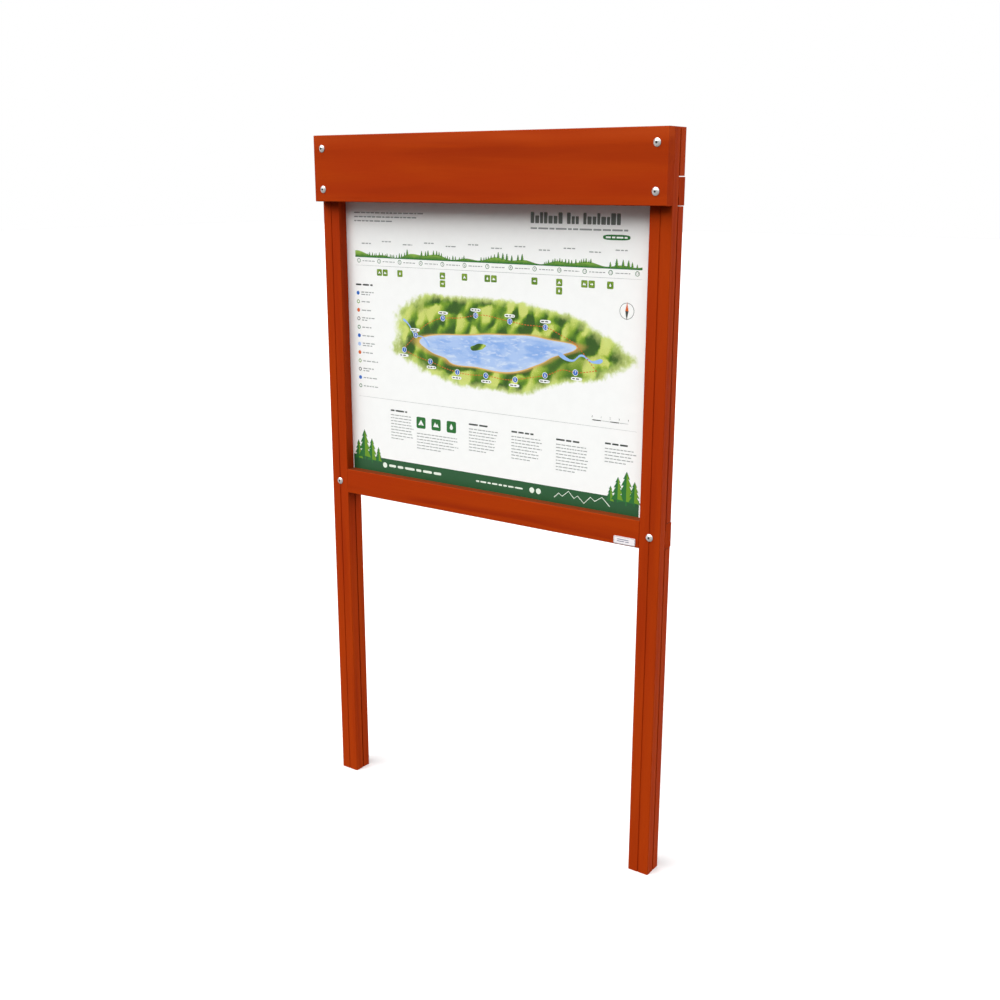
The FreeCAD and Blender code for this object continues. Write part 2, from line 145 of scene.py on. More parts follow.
class PrintSettings(bpy.types.PropertyGroup):
    paper: colour_setting("Paper", "White ground of the panel", 246, 247, 245)
    white: colour_setting("White ink", "White of labels and pictograms", 244, 246, 243)
    band: colour_setting("Band", "Green band along the bottom", 38, 82, 49)
    pale: colour_setting("Pale green", "Marks on the green band", 226, 238, 224)
    leaf: colour_setting("Leaf green", "Mid green of trees and tiles", 104, 148, 40)
    pine: colour_setting("Pine green", "Dark green of trees and lines", 40, 104, 48)
    title: colour_setting("Title", "Grey of the title's letter blocks", 96, 101, 96)
    ink: colour_setting("Ink", "Dark grey of headings and numbers", 62, 66, 62)
    small_ink: colour_setting("Small ink", "Grey of the small lines of print", 146, 150, 148)
    water: colour_setting("Water", "Blue of the lake", 172, 198, 238)
    sign_blue: colour_setting("Sign blue", "Blue of the numbered discs", 44, 104, 190)
    path: colour_setting("Path", "Orange-brown of the footpaths", 206, 96, 44)
    seed: IntProperty(name="Seed", description="Seed of the lines of print", default=7, min=0)


class StageSettings(bpy.types.PropertyGroup):
    floor: colour_setting("Floor", "Colour of the studio floor", 236, 236, 236)
    sky: strength_setting("Sky", "Strength of the even light all round", 0.16)
    key: strength_setting("Key", "Strength of the soft light from the front left", 3.6)
    fill: strength_setting("Fill", "Strength of the soft light from the front right", 1.15)
    side: strength_setting("Side", "Strength of the soft light from behind on the right", 1.9)
    back: strength_setting("Back", "Strength of the soft light from behind on the left", 1.1)
    lens: FloatProperty(
        name="Lens", description="Focal length of the camera", default=42.83, subtype="DISTANCE_CAMERA")


# Editing

def add_object(name, data):
    piece = bpy.data.objects.new(name, data)
    bpy.context.scene.collection.objects.link(piece)
    return piece


def take(piece):
    """Selects the piece and nothing else."""
    if bpy.context.mode != "OBJECT":
        bpy.ops.object.mode_set(mode="OBJECT")
    bpy.ops.object.select_all(action="DESELECT")
    piece.select_set(True)
    bpy.context.view_layer.objects.active = piece


def pick_all():
    bpy.ops.mesh.select_all(action="SELECT")


def pick_none():
    bpy.ops.mesh.select_all(action="DESELECT")


@contextmanager
def editing(piece, mode="FACE"):
    """Opens the piece in edit mode with nothing selected, and closes it again."""
    take(piece)
    bpy.ops.object.mode_set(mode="EDIT")
    bpy.ops.mesh.select_mode(type=mode)
    pick_none()
    yield
    bpy.ops.object.mode_set(mode="OBJECT")


def pick_faces(piece, test):
    """Selects the faces whose middle and normal pass the test, and no others."""
    mesh = bmesh.from_edit_mesh(piece.data)
    mesh.normal_update()
    for face in mesh.faces:
        face.select_set(bool(test(face.calc_center_median(), face.normal)))
    bmesh.update_edit_mesh(piece.data)


def pick_end(piece, way):
    """Selects the faces that look up, or down where way is -1."""
    pick_faces(piece, lambda middle, normal: normal.z * way > FLAT)


def close_holes(piece):
    """Fills the open edges of the piece that is being edited."""
    pick_none()
    bpy.ops.mesh.select_mode(type="EDGE")
    mesh = bmesh.from_edit_mesh(piece.data)
    for edge in mesh.edges:
        edge.select_set(edge.is_boundary)
    bmesh.update_edit_mesh(piece.data)
    bpy.ops.mesh.edge_face_add()


def grow(push):
    """Extrudes the selected faces along Z."""
    bpy.ops.mesh.extrude_region_move(TRANSFORM_OT_translate={"value": (0, 0, push)})


def squeeze(across, along=1.0):
    bpy.ops.transform.resize(value=(across, across, along), center_override=(0, 0, 0))


def settle(piece, weld=WELD):
    """Merges doubled corners and turns every face outwards."""
    with editing(piece, "VERT"):
        pick_all()
        bpy.ops.mesh.remove_doubles(threshold=weld)
        bpy.ops.mesh.normals_make_consistent(inside=False)


def place_mesh(piece, matrix):
    piece.data.transform(matrix)
    piece.data.update()


def join(name, masters):
    """Joins masters as one piece; each is given with the place that its copy goes to."""
    joined = bmesh.new()
    for master, place in masters:
        copy = master.data.copy()
        copy.transform(place)
        joined.from_mesh(copy)
        bpy.data.meshes.remove(copy)
    mesh = bpy.data.meshes.new(name)
    joined.to_mesh(mesh)
    joined.free()
    return add_object(name, mesh)


def copies(name, master, places):
    """Joins a copy of the master at each place as one piece."""
    return join(name, [(master, place) for place in places])


def discard(*pieces):
    for piece in pieces:
        bpy.data.objects.remove(piece)


def cut_with(piece, tool, operation):
    """Cuts the piece with the tool and takes the tool away."""
    take(piece)
    cutter = piece.modifiers.new("cut", "BOOLEAN")
    cutter.operation = operation
    cutter.solver = "EXACT"
    cutter.object = tool
    bpy.ops.object.modifier_apply(modifier=cutter.name)
    discard(tool)


def smooth(piece, degrees):
    take(piece)
    bpy.ops.object.shade_smooth_by_angle(angle=math.radians(degrees))


def coat(piece, finish):
    piece.data.materials.clear()
    piece.data.materials.append(finish)


def hand_over(piece, finish, slot, *replaced):
    """Gives a finished piece its material and fixes it to the board."""
    coat(piece, finish)
    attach(piece, "root")
    if replaced:
        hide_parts(*replaced)


# Shader nodes

class Value:
    """An output of a shader node, from which further ones are worked out with plain sums."""

    def __init__(self, socket):
        self.socket = socket
        self.tree = socket.id_data

    def maths(self, operation, *others):
        """Works with numbers where this value is one, else with vectors."""
        plain = self.socket.type == "VALUE"
        kind = "Math" if plain else "VectorMath"
        result = "Value" if plain or operation == "LENGTH" else "Vector"
        return node(self.tree, kind, (self, *others), result, operation=operation)

    def beside(self):
        """All the outputs of this value's node, by name."""
        return {socket.name: Value(socket) for socket in self.socket.node.outputs}

    def __add__(self, other):
        return self.maths("ADD", other)

    def __sub__(self, other):
        return self.maths("SUBTRACT", other)

    def __mul__(self, other):
        return self.maths("MULTIPLY", other)

    def __truediv__(self, other):
        return self.maths("DIVIDE", other)


def feed(target, value):
    """Links a value to the target, or sets the target to a plain number, vector or colour."""
    if isinstance(value, Value):
        value.tree.links.new(value.socket, target)
    elif target.type == "RGBA":
        target.default_value = (*value, 1.0)
    else:
        target.default_value = value


def node(tree, kind, inputs=(), output=0, **settings):
    """Adds a shader node, feeds its inputs by place or by name, and gives one of its outputs."""
    made = tree.nodes.new("ShaderNode" + kind)
    for key, value in settings.items():
        setattr(made, key, value)
    for key, value in inputs.items() if isinstance(inputs, dict) else enumerate(inputs):
        feed(made.inputs[key], value)
    return Value(made.outputs[output])


def split(vector):
    """The vector's parts along X, Y and Z."""
    return node(vector.tree, "SeparateXYZ", (vector,)).beside().values()


def facing(point):
    """Which way the surface faces at the point."""
    return node(point.tree, "TexCoord", output="Normal")


def turned(vector, turn, shift=(0, 0, 0)):
    """The vector turned and then shifted, so that a pattern lies along its piece."""
    return node(vector.tree, "Mapping", {"Vector": vector, "Rotation": turn, "Location": shift})


def noise(point, scale, detail=2.0, rough=0.5, output="Fac", warp=0.0):
    """Noise whose scale is one number or a number for each axis."""
    if isinstance(scale, tuple):
        point, scale = point * scale, 1.0
    inputs = {"Vector": point, "Scale": scale, "Detail": detail, "Roughness": rough, "Distortion": warp}
    return node(point.tree, "TexNoise", inputs, output)


def stray(point, scale, detail=2.0):
    """Noise in all three directions, round zero."""
    return noise(point, scale, detail, output="Color") - (0.5, 0.5, 0.5)


def grain(point, lengthwise, across, **shape):
    """Noise drawn out along X, as in a plank."""
    return noise(point, (lengthwise, across, across), **shape)


def spread(value, low, high, to_low=0.0, to_high=1.0, ease="SMOOTHSTEP"):
    """Maps a value between two levels on to a new range."""
    return node(value.tree, "MapRange", (value, low, high, to_low, to_high), interpolation_type=ease)


def ridge_of(step, foot, top, edge):
    """Rises from the foot to the top, stays, and falls from the edge to the step's end."""
    return spread(step, foot, top) * spread(step, edge, 1.0, 1.0, 0.0)


def blend(share, first, second):
    return node(share.tree, "Mix", {0: share, 6: first, 7: second}, 2, data_type="RGBA")


def overlay(base, *layers):
    """Lays each layer, given as its share and its colour, over the base in turn."""
    for share, tint in layers:
        base = blend(share, base, tint)
    return base


def add_sockets(group, labels, way):
    kinds = {"Vector": "NodeSocketVector", "Colour": "NodeSocketColor"}
    for label in labels:
        kind = kinds.get(label, "NodeSocketFloat")
        group.interface.new_socket(name=label, in_out=way, socket_type=kind)


def new_group(name, *labels):
    """Starts a node group, and gives it with the values that go into it."""
    group = bpy.data.node_groups.new(name, "ShaderNodeTree")
    add_sockets(group, labels, "INPUT")
    given = group.nodes.new("NodeGroupInput").outputs
    return group, *(Value(given[label]) for label in labels)


def end_group(group, **results):
    """Gives the group its results."""
    add_sockets(group, results, "OUTPUT")
    ends = group.nodes.new("NodeGroupOutput").inputs
    for label, value in results.items():
        feed(ends[label], value)
    return group


def use_group(group, point, **values):
    """The results of a group at a point, by name."""
    return node(point.tree, "Group", {"Vector": point, **values}, node_tree=group).beside()


def new_material(name):
    """A new material, its shader's inputs, and the place on the board of each point that it coats."""
    material = bpy.data.materials.new(name)
    material.use_nodes = True
    tree = material.node_tree
    return material, tree.nodes["Principled BSDF"].inputs, node(tree, "TexCoord", output="Object")


def paint(shader, base, roughness, gloss=0.5):
    for key, value in (("Base Color", base), ("Roughness", roughness), ("Specular IOR Level", gloss)):
        feed(shader[key], value)


def emboss(shader, height, distance, strength):
    inputs = {"Height": height, "Distance": distance, "Strength": strength}
    feed(shader["Normal"], node(height.tree, "Bump", inputs))


# Finishes

@cache
def wood_group():
    """Growth bands round a pith that runs along X, with fibre and pores."""
    group, point, width, wander = new_group("solid_wood", "Vector", "Width", "Wander")
    drift = stray(point, (1.1, 3.0, 3.0)) * node(group, "CombineXYZ", {"Y": wander, "Z": wander})
    bent = point + drift
    rings = (bent * (0, 1, 1)).maths("LENGTH") / width
    strength = node(group, "TexWhiteNoise", {"W": rings.maths("FLOOR")}, noise_dimensions="1D") * 0.6 + 0.4
    broken = spread(grain(point, 1.6, 12.0), 0.35, 0.65, 0.25, 1.0)
    band = ridge_of(rings.maths("FRACT"), 0.42, 0.78, 0.84) * (strength * broken)
    fibre = grain(bent, 7.0, 460.0, detail=3.0, rough=0.6)
    pore = spread(grain(point, 55.0, 1100.0, detail=1.0), 0.66, 0.76)
    return end_group(
        group, Band=band,
        Streak=spread(grain(bent, 0.9, 13.0, detail=3.0, warp=0.2), 0.5, 0.66),
        Warm=spread(grain(bent, 1.4, 9.0), 0.35, 0.65),
        Fibre=spread(fibre, 0.3, 0.72), Pore=pore,
        Ring=ridge_of((rings * 15.0).maths("FRACT"), 0.35, 0.85, 0.9),
        Height=fibre * 0.6 + band * 0.2 - pore * 0.5)


def satin(mottle):
    """Roughness of print, a little uneven with its mottle."""
    return spread(mottle, 0.3, 0.7, 0.34, 0.46)


@cache
def tone_group():
    """Slight unevenness of a printed colour: soft mottle and fine screen grain."""
    group, point, tint, unevenness = new_group("printed_tone", "Vector", "Colour", "Unevenness")
    soft = noise(point, 28.0, detail=3.0)
    screen = noise(point, 900.0, detail=1.0)
    share = spread(soft * 0.65 + screen * 0.35, 0.3, 0.7) * unevenness
    return end_group(group, Colour=blend(share, tint, tint * (1.5, 1.5, 1.5)), Roughness=satin(soft))


@cache
def metal_group():
    """Fine turning marks and handling marks on metal."""
    group, point, tint, dulling = new_group("worked_metal", "Vector", "Colour", "Dulling")
    marks = noise(point, (1800.0, 260.0, 1800.0), detail=3.0, rough=0.65)
    dull = spread(noise(point, 210.0, detail=3.0, rough=0.6), 0.35, 0.7) * dulling
    worn = blend(dull, tint, (0.12, 0.12, 0.12))
    return end_group(group, Colour=worn, Roughness=marks * 0.16 + 0.16 + dull, Height=marks)


def timber_material(name, upright, heart, band_width, wander, bleached=None):
    """Stained plank: grain along Z when upright, else along X; heart is the pith's place.

    A painted highlight pales the wood from the given height up to its top edge.
    """
    set_up = bpy.context.scene.board_timber
    material, shader, point = new_material(name)
    turn = (0.0, math.pi / 2 if upright else 0.0, 0.0)
    wood = use_group(wood_group(), turned(point, turn, heart), Width=band_width, Wander=wander)
    lengthwise, _, _ = split(turned(facing(point), turn))
    end = spread(lengthwise.maths("ABSOLUTE"), 0.6, 0.95)
    base = overlay(
        blend(wood["Warm"] * 0.6, set_up.stain, set_up.early_wood),
        (wood["Streak"] * 0.27, set_up.late_wood), (wood["Band"] * 0.6, set_up.late_wood),
        (wood["Fibre"] * 0.14, set_up.late_wood), (wood["Pore"] * 0.25, set_up.pore),
        (end * 0.03, set_up.pore), (end * wood["Ring"] * 0.35, set_up.late_wood))
    # Painted highlight: near its top edge the header is blended towards a paler colour
    if bleached is not None:
        _, _, height = split(point)
        pale = spread(height, bleached, bleached + 45 * MM) * (wood["Warm"] * 0.6 + 0.4)
        base = blend(pale, base, set_up.bleached)
    # Painted shade: faces that look up are blended towards a darker brown
    _, _, upward = split(facing(point))
    top_shade = spread(upward, 0.5, 0.95) * (wood["Fibre"] * 0.25 + 0.6 - end * 0.2)
    base = blend(top_shade, base, set_up.weathered)
    paint(shader, base, wood["Fibre"] * 0.1 + end * 0.15 + (set_up.roughness - 0.05), WOOD_GLOSS)
    emboss(shader, wood["Height"], 0.25 * MM, 0.6)
    return material


def metal_material(name, tint, dulling, socket=None):
    """Worked metal, with painted shade on the faces that look down or to the right; where a socket's middle
    is given, painted shade darkens the socket.
    """
    material, shader, point = new_material(name)
    marks = use_group(metal_group(), point, Colour=tint, Dulling=dulling)
    # Painted shade: faces that look down or to the right are darkened towards near black
    right, _, up = split(facing(point))
    painted_shade = spread(up - right * 0.5, 0.35, -0.75, 0.0, 0.75, "LINEAR")
    base = blend(painted_shade, marks["Colour"], (0.1, 0.095, 0.09))
    # Painted shade in the socket: near black within its width and its first 2 mm of depth
    if socket is not None:
        offset = point - socket
        away = (offset * (1, 0, 1)).maths("LENGTH")
        _, depth, _ = split(offset)
        inside = spread(away, 4.0 * MM, 5.2 * MM, 0.9, 0.0) * spread(depth, 0.0, 2 * MM, 1.0, 0.0)
        base = blend(inside, base, (0.05, 0.048, 0.045))
    shader["Metallic"].default_value = 1.0
    paint(shader, base, marks["Roughness"])
    emboss(shader, marks["Height"], 0.02 * MM, 0.5)
    return material


def print_material(name, pattern):
    """Satin print, whose pattern gives the colour and the roughness at a point."""
    material, shader, point = new_material("ink_" + name)
    paint(shader, *pattern(point), PRINT_GLOSS)
    return material


def printed_tone(point, tint, unevenness):
    """The colour and the roughness of an even tint as it is printed."""
    tone = use_group(tone_group(), point, Colour=tint, Unevenness=unevenness)
    return tone["Colour"], tone["Roughness"]


def ink_material(name, tint, unevenness=0.06):
    return print_material(name, lambda point: printed_tone(point, tint, unevenness))


@cache
def ink(name):
    """The printing ink of that name, of which the white one is the most even."""
    tint = getattr(bpy.context.scene.board_print, name)
    return ink_material(name, tint, 0.03 if name == "white" else 0.06)


# Laying ink on the panel

def stamp_place(across, up, width, height, level, angle=0.0, face=FACE, layer=LAYER):
    """Where a master of unit size goes on a face; each level stands one layer further out."""
    thick = layer * (level + 1) + SINK
    return (Matrix.Translation((across * MM, face + SINK * MM, up * MM)) @ TO_PANEL
            @ Matrix.Rotation(math.radians(angle), 4, "Z")
            @ Matrix.Diagonal((width * MM, height * MM, thick * MM, 1.0)))


def stand(piece):
    """Makes a curve or text of unit thickness a mesh that stands on its back."""
    piece.data.extrude = 0.5
    take(piece)
    bpy.ops.object.convert(target="MESH")
    place_mesh(piece, Matrix.Translation((0, 0, 0.5)))
    return piece


def flat_shape(outline, rounded=False):
    """A filled outline of unit thickness."""
    curve = bpy.data.curves.new("outline", "CURVE")
    curve.dimensions = "2D"
    curve.fill_mode = "BOTH"
    curve.resolution_u = 6 if rounded else 1
    spline = curve.splines.new("BEZIER")
    spline.bezier_points.add(len(outline) - 1)
    for point, (across, up) in zip(spline.bezier_points, outline):
        point.co = (across, up, 0)
        point.handle_left_type = point.handle_right_type = "AUTO" if rounded else "VECTOR"
    spline.use_cyclic_u = True
    piece = stand(add_object("outline", curve))
    settle(piece, 0.0001)
    return piece


def print_outline(name, outline, finish, level, rounded=False):
    """Prints a filled outline whose points are places on the panel."""
    piece = flat_shape(outline, rounded)
    piece.name = name
    place_mesh(piece, stamp_place(across=0, up=0, width=1, height=1, level=level))
    hand_over(piece, finish, "printed_laminate")


def mark(across, up, width, height, level, angle=0.0):
    """Where one copy of a master is printed, and how large."""
    return across, up, width, height, level, angle


def even(spots, size, level):
    """Marks as wide as they are high, one for each spot."""
    return [mark(spot[0], spot[1], size, size, level) for spot in spots]


def print_marks(name, master, marks, finish):
    """Prints a copy of the master for each mark."""
    piece = copies(name, master, [stamp_place(*each) for each in marks])
    discard(master)
    hand_over(piece, finish, "printed_laminate")


def block(corner):
    """A unit block with rounded corners, flat on its back."""
    bpy.ops.mesh.primitive_plane_add(size=1.0)
    piece = bpy.context.object
    with editing(piece):
        pick_all()
        bpy.ops.mesh.bevel(offset=corner, segments=3, affect="VERTICES")
        pick_all()
        grow(1.0)
    settle(piece)
    return piece


def disc(corners=24, hole=0.0):
    """A unit disc, or a ring when a hole is given, flat on its back."""
    bpy.ops.mesh.primitive_circle_add(vertices=corners, radius=0.5, fill_type="NGON")
    piece = bpy.context.object
    with editing(piece):
        pick_all()
        if hole:
            bpy.ops.mesh.inset(thickness=(0.5 - hole / 2) * math.cos(math.pi / corners))
            bpy.ops.mesh.delete(type="FACE")
        pick_all()
        grow(1.0)
    settle(piece)
    return piece


def rectangle(left, bottom, right, top):
    return [(left, bottom), (right, bottom), (right, top), (left, top)]


def ribbon(points, width):
    """The outline of a band of even width that follows the points."""
    left, right = [], []
    for index, point in enumerate(points):
        before = Vector(points[max(index - 1, 0)])
        after = Vector(points[min(index + 1, len(points) - 1)])
        run = (after - before).normalized()
        across = Vector((-run.y, run.x)) * width / 2
        left.append(tuple(Vector(point) + across))
        right.append(tuple(Vector(point) - across))
    return left + right[::-1]


def blob(centre, reach, turn, waves, count, stretch=1.0, margin=0.0):
    """A wavy closed outline round a centre, stretched and then widened by a margin.

    Each wave is (how many, how deep, where it starts).
    """
    wide, high = (length * stretch + margin for length in reach)
    outline = []
    for index in range(count):
        angle = 2 * math.pi * index / count
        scale = 1.0 + sum(depth * math.sin(number * angle + start) for number, depth, start in waves)
        spot = Vector((wide * scale * math.cos(angle), high * scale * math.sin(angle)))
        spot.rotate(Matrix.Rotation(math.radians(turn), 2))
        outline.append((centre[0] + spot.x, centre[1] + spot.y))
    return outline


def smooth_line(points):
    """A line through the points that bends evenly, as many short runs."""
    parts = 24
    ends = [points[0], *points, points[-1]]
    line = []
    for a, b, c, d in zip(*([Vector(end) for end in ends[start:]] for start in range(4))):
        for part in range(parts):
            t = part / parts
            line.append(0.5 * (2 * b + (c - a) * t + (2 * a - 5 * b + 4 * c - d) * t * t
                               + (3 * b - a - 3 * c + d) * t ** 3))
    return line + [Vector(points[-1])]


def along(points, step, start):
    """Walks a smooth line through the points and gives (across, up, angle) at each step."""
    line = smooth_line(points)
    found, due = [], start
    for first, last in zip(line, line[1:]):
        run = last - first
        while due <= run.length:
            spot = first + run * (due / run.length)
            found.append((spot.x, spot.y, math.degrees(math.atan2(run.y, run.x))))
            due += step
        due -= run.length
    return found


def words(draw, left, up, width, height, longest, level=1):
    """One line of print: word-length bars from the left until the width is filled."""
    shortest, gap = 2.2 * height, 0.9 * height
    marks, at = [], left
    while at < left + width - height:
        length = min(draw.uniform(shortest, longest), left + width - at)
        marks.append(mark(at + length / 2, up, length, height, level))
        at += length + gap
    return marks


def paragraph(draw, left, top, width, rows):
    """Rows of small print, the last one short."""
    pitch, height, longest = 13, 3.6, 24
    marks = []
    for row in range(rows):
        share = draw.uniform(0.45, 0.7) if row == rows - 1 else draw.uniform(0.86, 1.0)
        marks += words(draw, left, top - row * pitch, width * share, height, longest)
    return marks


def print_numbers(name, items, finish, height, level):
    """Prints whole numbers, each given with its place, as one piece."""
    size = height * FONT_SIZE
    digits = []
    for value, across, up in items:
        bpy.ops.object.text_add()
        text = bpy.context.object
        text.data.body = str(value)
        text.data.align_x = text.data.align_y = "CENTER"
        text.data.resolution_u = 3
        digits.append((stand(text), stamp_place(across, up, size, size, level)))
    piece = join(name, digits)
    discard(*(text for text, _ in digits))
    settle(piece)
    hand_over(piece, finish, "printed_laminate")


# Fastenings

def middle_of(node_name):
    """The middle and the lowest and highest corners of a node."""
    low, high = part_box(node_name)
    return (low + high) / 2, low, high


def tapered_master(radius, length, chamfer, rim, corners):
    """A cylinder along Y whose two ends taper to the rim over the chamfer's height."""
    bpy.ops.mesh.primitive_cylinder_add(vertices=corners, radius=radius, depth=length - 2 * chamfer)
    piece = bpy.context.object
    with editing(piece):
        for way in (1, -1):
            pick_end(piece, way)
            grow(way * chamfer)
            squeeze(rim / radius)
    place_mesh(piece, TO_PANEL)
    return piece


def nut_master(flats, height, chamfer, bore):
    """A hexagon nut along Y with turned corners and a countersunk bore."""
    corner, rim, splay = flats / math.sqrt(3), flats * 0.475, 1.14
    bpy.ops.mesh.primitive_cylinder_add(vertices=6, radius=corner, depth=height)
    nut = bpy.context.object
    place_mesh(nut, TO_PANEL @ Matrix.Rotation(math.pi / 6, 4, "Z"))
    cut_with(nut, tapered_master(corner * 1.01, height * 1.0001, chamfer, rim, 48), "INTERSECT")
    bpy.ops.mesh.primitive_cylinder_add(vertices=32, radius=bore, depth=height - 2 * chamfer)
    tool = bpy.context.object
    with editing(tool):
        for way in (1, -1):
            pick_end(tool, way)
            grow(way * chamfer)
            squeeze(splay)
            grow(way * chamfer)
    place_mesh(tool, TO_PANEL)
    cut_with(nut, tool, "DIFFERENCE")
    settle(nut)
    with editing(nut):
        pick_all()
        bpy.ops.mesh.dissolve_limited(angle_limit=math.radians(0.5))
    return nut


def thread_master(radius, depth, pitch, turns):
    """A closed screw thread round Y that starts at the origin and runs towards +Y."""
    root, crest = radius - 0.4 * depth, radius + 0.6 * depth
    foot, top = 0.45 * pitch, 0.06 * pitch
    corners = ((root, -foot), (crest, -top), (crest, top), (root, foot))
    mesh = bpy.data.meshes.new("thread")
    mesh.from_pydata([(out, 0, rise) for out, rise in corners], [(0, 1), (1, 2), (2, 3), (3, 0)], [])
    piece = add_object("thread", mesh)
    take(piece)
    sweep = piece.modifiers.new("sweep", "SCREW")
    sweep.axis = "Z"
    sweep.screw_offset = pitch
    sweep.iterations = turns
    sweep.steps = sweep.render_steps = 28
    bpy.ops.object.modifier_apply(modifier=sweep.name)
    with editing(piece, "EDGE"):
        close_holes(piece)
    place_mesh(piece, TO_BACK)
    settle(piece)
    return piece


def star_tool(width, depth):
    """A six-pointed drive recess, ready to be cut into a screw's head from +Y."""
    count, points, even_reach, swing, floor = 24, 6, 0.86, 0.14, 0.7
    outline = []
    for index in range(count):
        angle = 2 * math.pi * index / count
        reach = width / 2 / MM * (even_reach + swing * math.cos(points * angle))
        outline.append((reach * math.cos(angle), reach * math.sin(angle)))
    piece = flat_shape(outline)
    place_mesh(piece, Matrix.Translation((0, 0, -depth)) @ Matrix.Diagonal((MM, MM, 2 * depth, 1)))
    with editing(piece):
        pick_end(piece, -1)
        squeeze(floor)
    place_mesh(piece, TO_BACK)
    return piece


def screw_master(head, sink, shank, reach, star_width, star_depth):
    """A countersunk wood screw along Y: its head's face is at the origin and faces +Y."""
    edge, rim = 0.4 * MM, 0.35 * MM
    bpy.ops.mesh.primitive_cylinder_add(vertices=36, radius=head / 2, depth=edge)
    piece = bpy.context.object
    place_mesh(piece, Matrix.Translation((0, 0, -edge / 2)))
    with editing(piece):
        pick_end(piece, -1)
        grow(edge - sink)
        squeeze(shank / head)
        grow(-reach)
        pick_end(piece, 1)
        bpy.ops.mesh.inset(thickness=rim)
    place_mesh(piece, TO_BACK)
    cut_with(piece, star_tool(star_width, star_depth), "DIFFERENCE")
    settle(piece)
    return piece


def head_places(name):
    """The middle of each screw head's back face, from the corners of the node's mesh."""
    across_a_head = 14 * MM
    corners = [vertex.co for vertex in NODES[name].data.vertices]
    back = max(corner.y for corner in corners) - 0.05 * MM
    heads = []
    for corner in corners:
        if corner.y < back:
            continue
        near = [head for head in heads if (head[0] - corner).length < across_a_head]
        if near:
            near[0].append(corner)
        else:
            heads.append([corner])
    places = [Vector([(min(axis) + max(axis)) / 2 for axis in zip(*head)]) for head in heads]
    return sorted(places, key=lambda place: (place.x, place.z))


class BOARD_OT_stain_timbers(bpy.types.Operator):
    """Gives every timber its stain, with its own grain and heart"""
    bl_idname = "board.stain_timbers"
    bl_label = "Stain the timbers"

    def execute(self, context):
        set_up = context.scene.board_timber
        draw = random.Random(11)
        for name in sorted(name for name in NODES if name.startswith(TIMBERS)):
            middle, low, high = middle_of(name)
            upright = high.z - low.z > high.x - low.x
            width, wander, bleached = set_up.band_width * 0.5, set_up.wander, None
            if name == "header_board":
                start, back, off = 0.35, low.y + 0.1, -0.012
                # The header's painted highlight starts 60 mm below its top
                width, wander, bleached = set_up.band_width, set_up.wander * 0.6, high.z - 60 * MM
            else:
                behind, beside = UPRIGHT_PITH if upright else LYING_PITH
                start, back, off = draw.uniform(0, 9), middle.y + draw.uniform(*behind), draw.uniform(*beside)
            heart = (start, -back, middle.x + off if upright else -(middle.z + off))
            finish = timber_material("stained_" + name, upright, heart, width, wander, bleached)
            coat(NODES[name], finish)
        return {"FINISHED"}


class BOARD_OT_finish_bolts(bpy.types.Operator):
    """Gives the bolts and washers their stainless finish and cuts the threads on the bolts' ends"""
    bl_idname = "board.finish_bolts"
    bl_label = "Finish the bolts"

    def execute(self, context):
        set_up = context.scene.board_metal
        stainless = metal_material("stainless_steel", set_up.stainless, 0.18)
        for name, piece in NODES.items():
            if name.startswith("bolt"):
                middle, low, _ = middle_of(name)
                socket = (middle.x, low.y + SOCKET_FLOOR, middle.z)
                coat(piece, metal_material("steel_" + name, set_up.stainless, 0.18, socket))
            elif name.startswith(("washer", "nut")):
                coat(piece, stainless)
        _, low, high = middle_of("nut_rail_left")
        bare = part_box("bolt_rail_left")[1].y - high.y
        turns = max(int(bare / set_up.thread_pitch) - 1, 2)
        thread = thread_master(BOLT_RADIUS, set_up.thread_depth, set_up.thread_pitch, turns)
        nut = nut_master(high.z - low.z, high.y - low.y, set_up.nut_chamfer, BOLT_RADIUS + 0.05 * MM)
        for side in ("left", "right"):
            for place in ("header_top", "header_low", "rail"):
                name = f"nut_{place}_{side}"
                middle, _, high = middle_of(name)
                dressed = copies("turned_" + name, nut, [Matrix.Translation(middle)])
                hand_over(dressed, stainless, "stainless_steel", name)
                start = (middle.x, high.y - 0.2 * set_up.thread_pitch, middle.z)
                ridge = copies(f"thread_{place}_{side}", thread, [Matrix.Translation(start)])
                hand_over(ridge, stainless, "stainless_steel")
                smooth(dressed, 25)
                smooth(ridge, 25)
        discard(thread, nut)
        return {"FINISHED"}


class BOARD_OT_drive_screws(bpy.types.Operator):
    """Puts the plated screws in, with star recesses in their heads"""
    bl_idname = "board.drive_screws"
    bl_label = "Drive the screws"

    def execute(self, context):
        set_up = context.scene.board_metal
        zinc = metal_material("zinc_plate", set_up.zinc, 0.3)
        master = screw_master(
            head=12 * MM, sink=4 * MM, shank=6 * MM, reach=20 * MM,
            star_width=set_up.star_width, star_depth=set_up.star_depth)
        for name in ("post_screws_left", "post_screws_right", "rail_screws"):
            coat(NODES[name], zinc)
            piece = copies("driven_" + name, master, [
                Matrix.Translation(spot) @ Matrix.Rotation(0.7 * index, 4, "Y")
                for index, spot in enumerate(head_places(name))])
            hand_over(piece, zinc, "zinc_plated_steel", name)
            smooth(piece, 30)
        discard(master)
        return {"FINISHED"}


def enamel_material():
    """White enamel, a little clouded and uneven."""
    material, shader, point = new_material("plate_enamel")
    cloud = noise(point, 160.0, detail=3.0)
    base = blend(spread(cloud, 0.3, 0.7), colour(244, 238, 240), colour(236, 230, 232))
    paint(shader, base, spread(cloud, 0.3, 0.7, 0.26, 0.36))
    emboss(shader, noise(point, 900.0, detail=1.0), 0.02 * MM, 0.4)
    return material


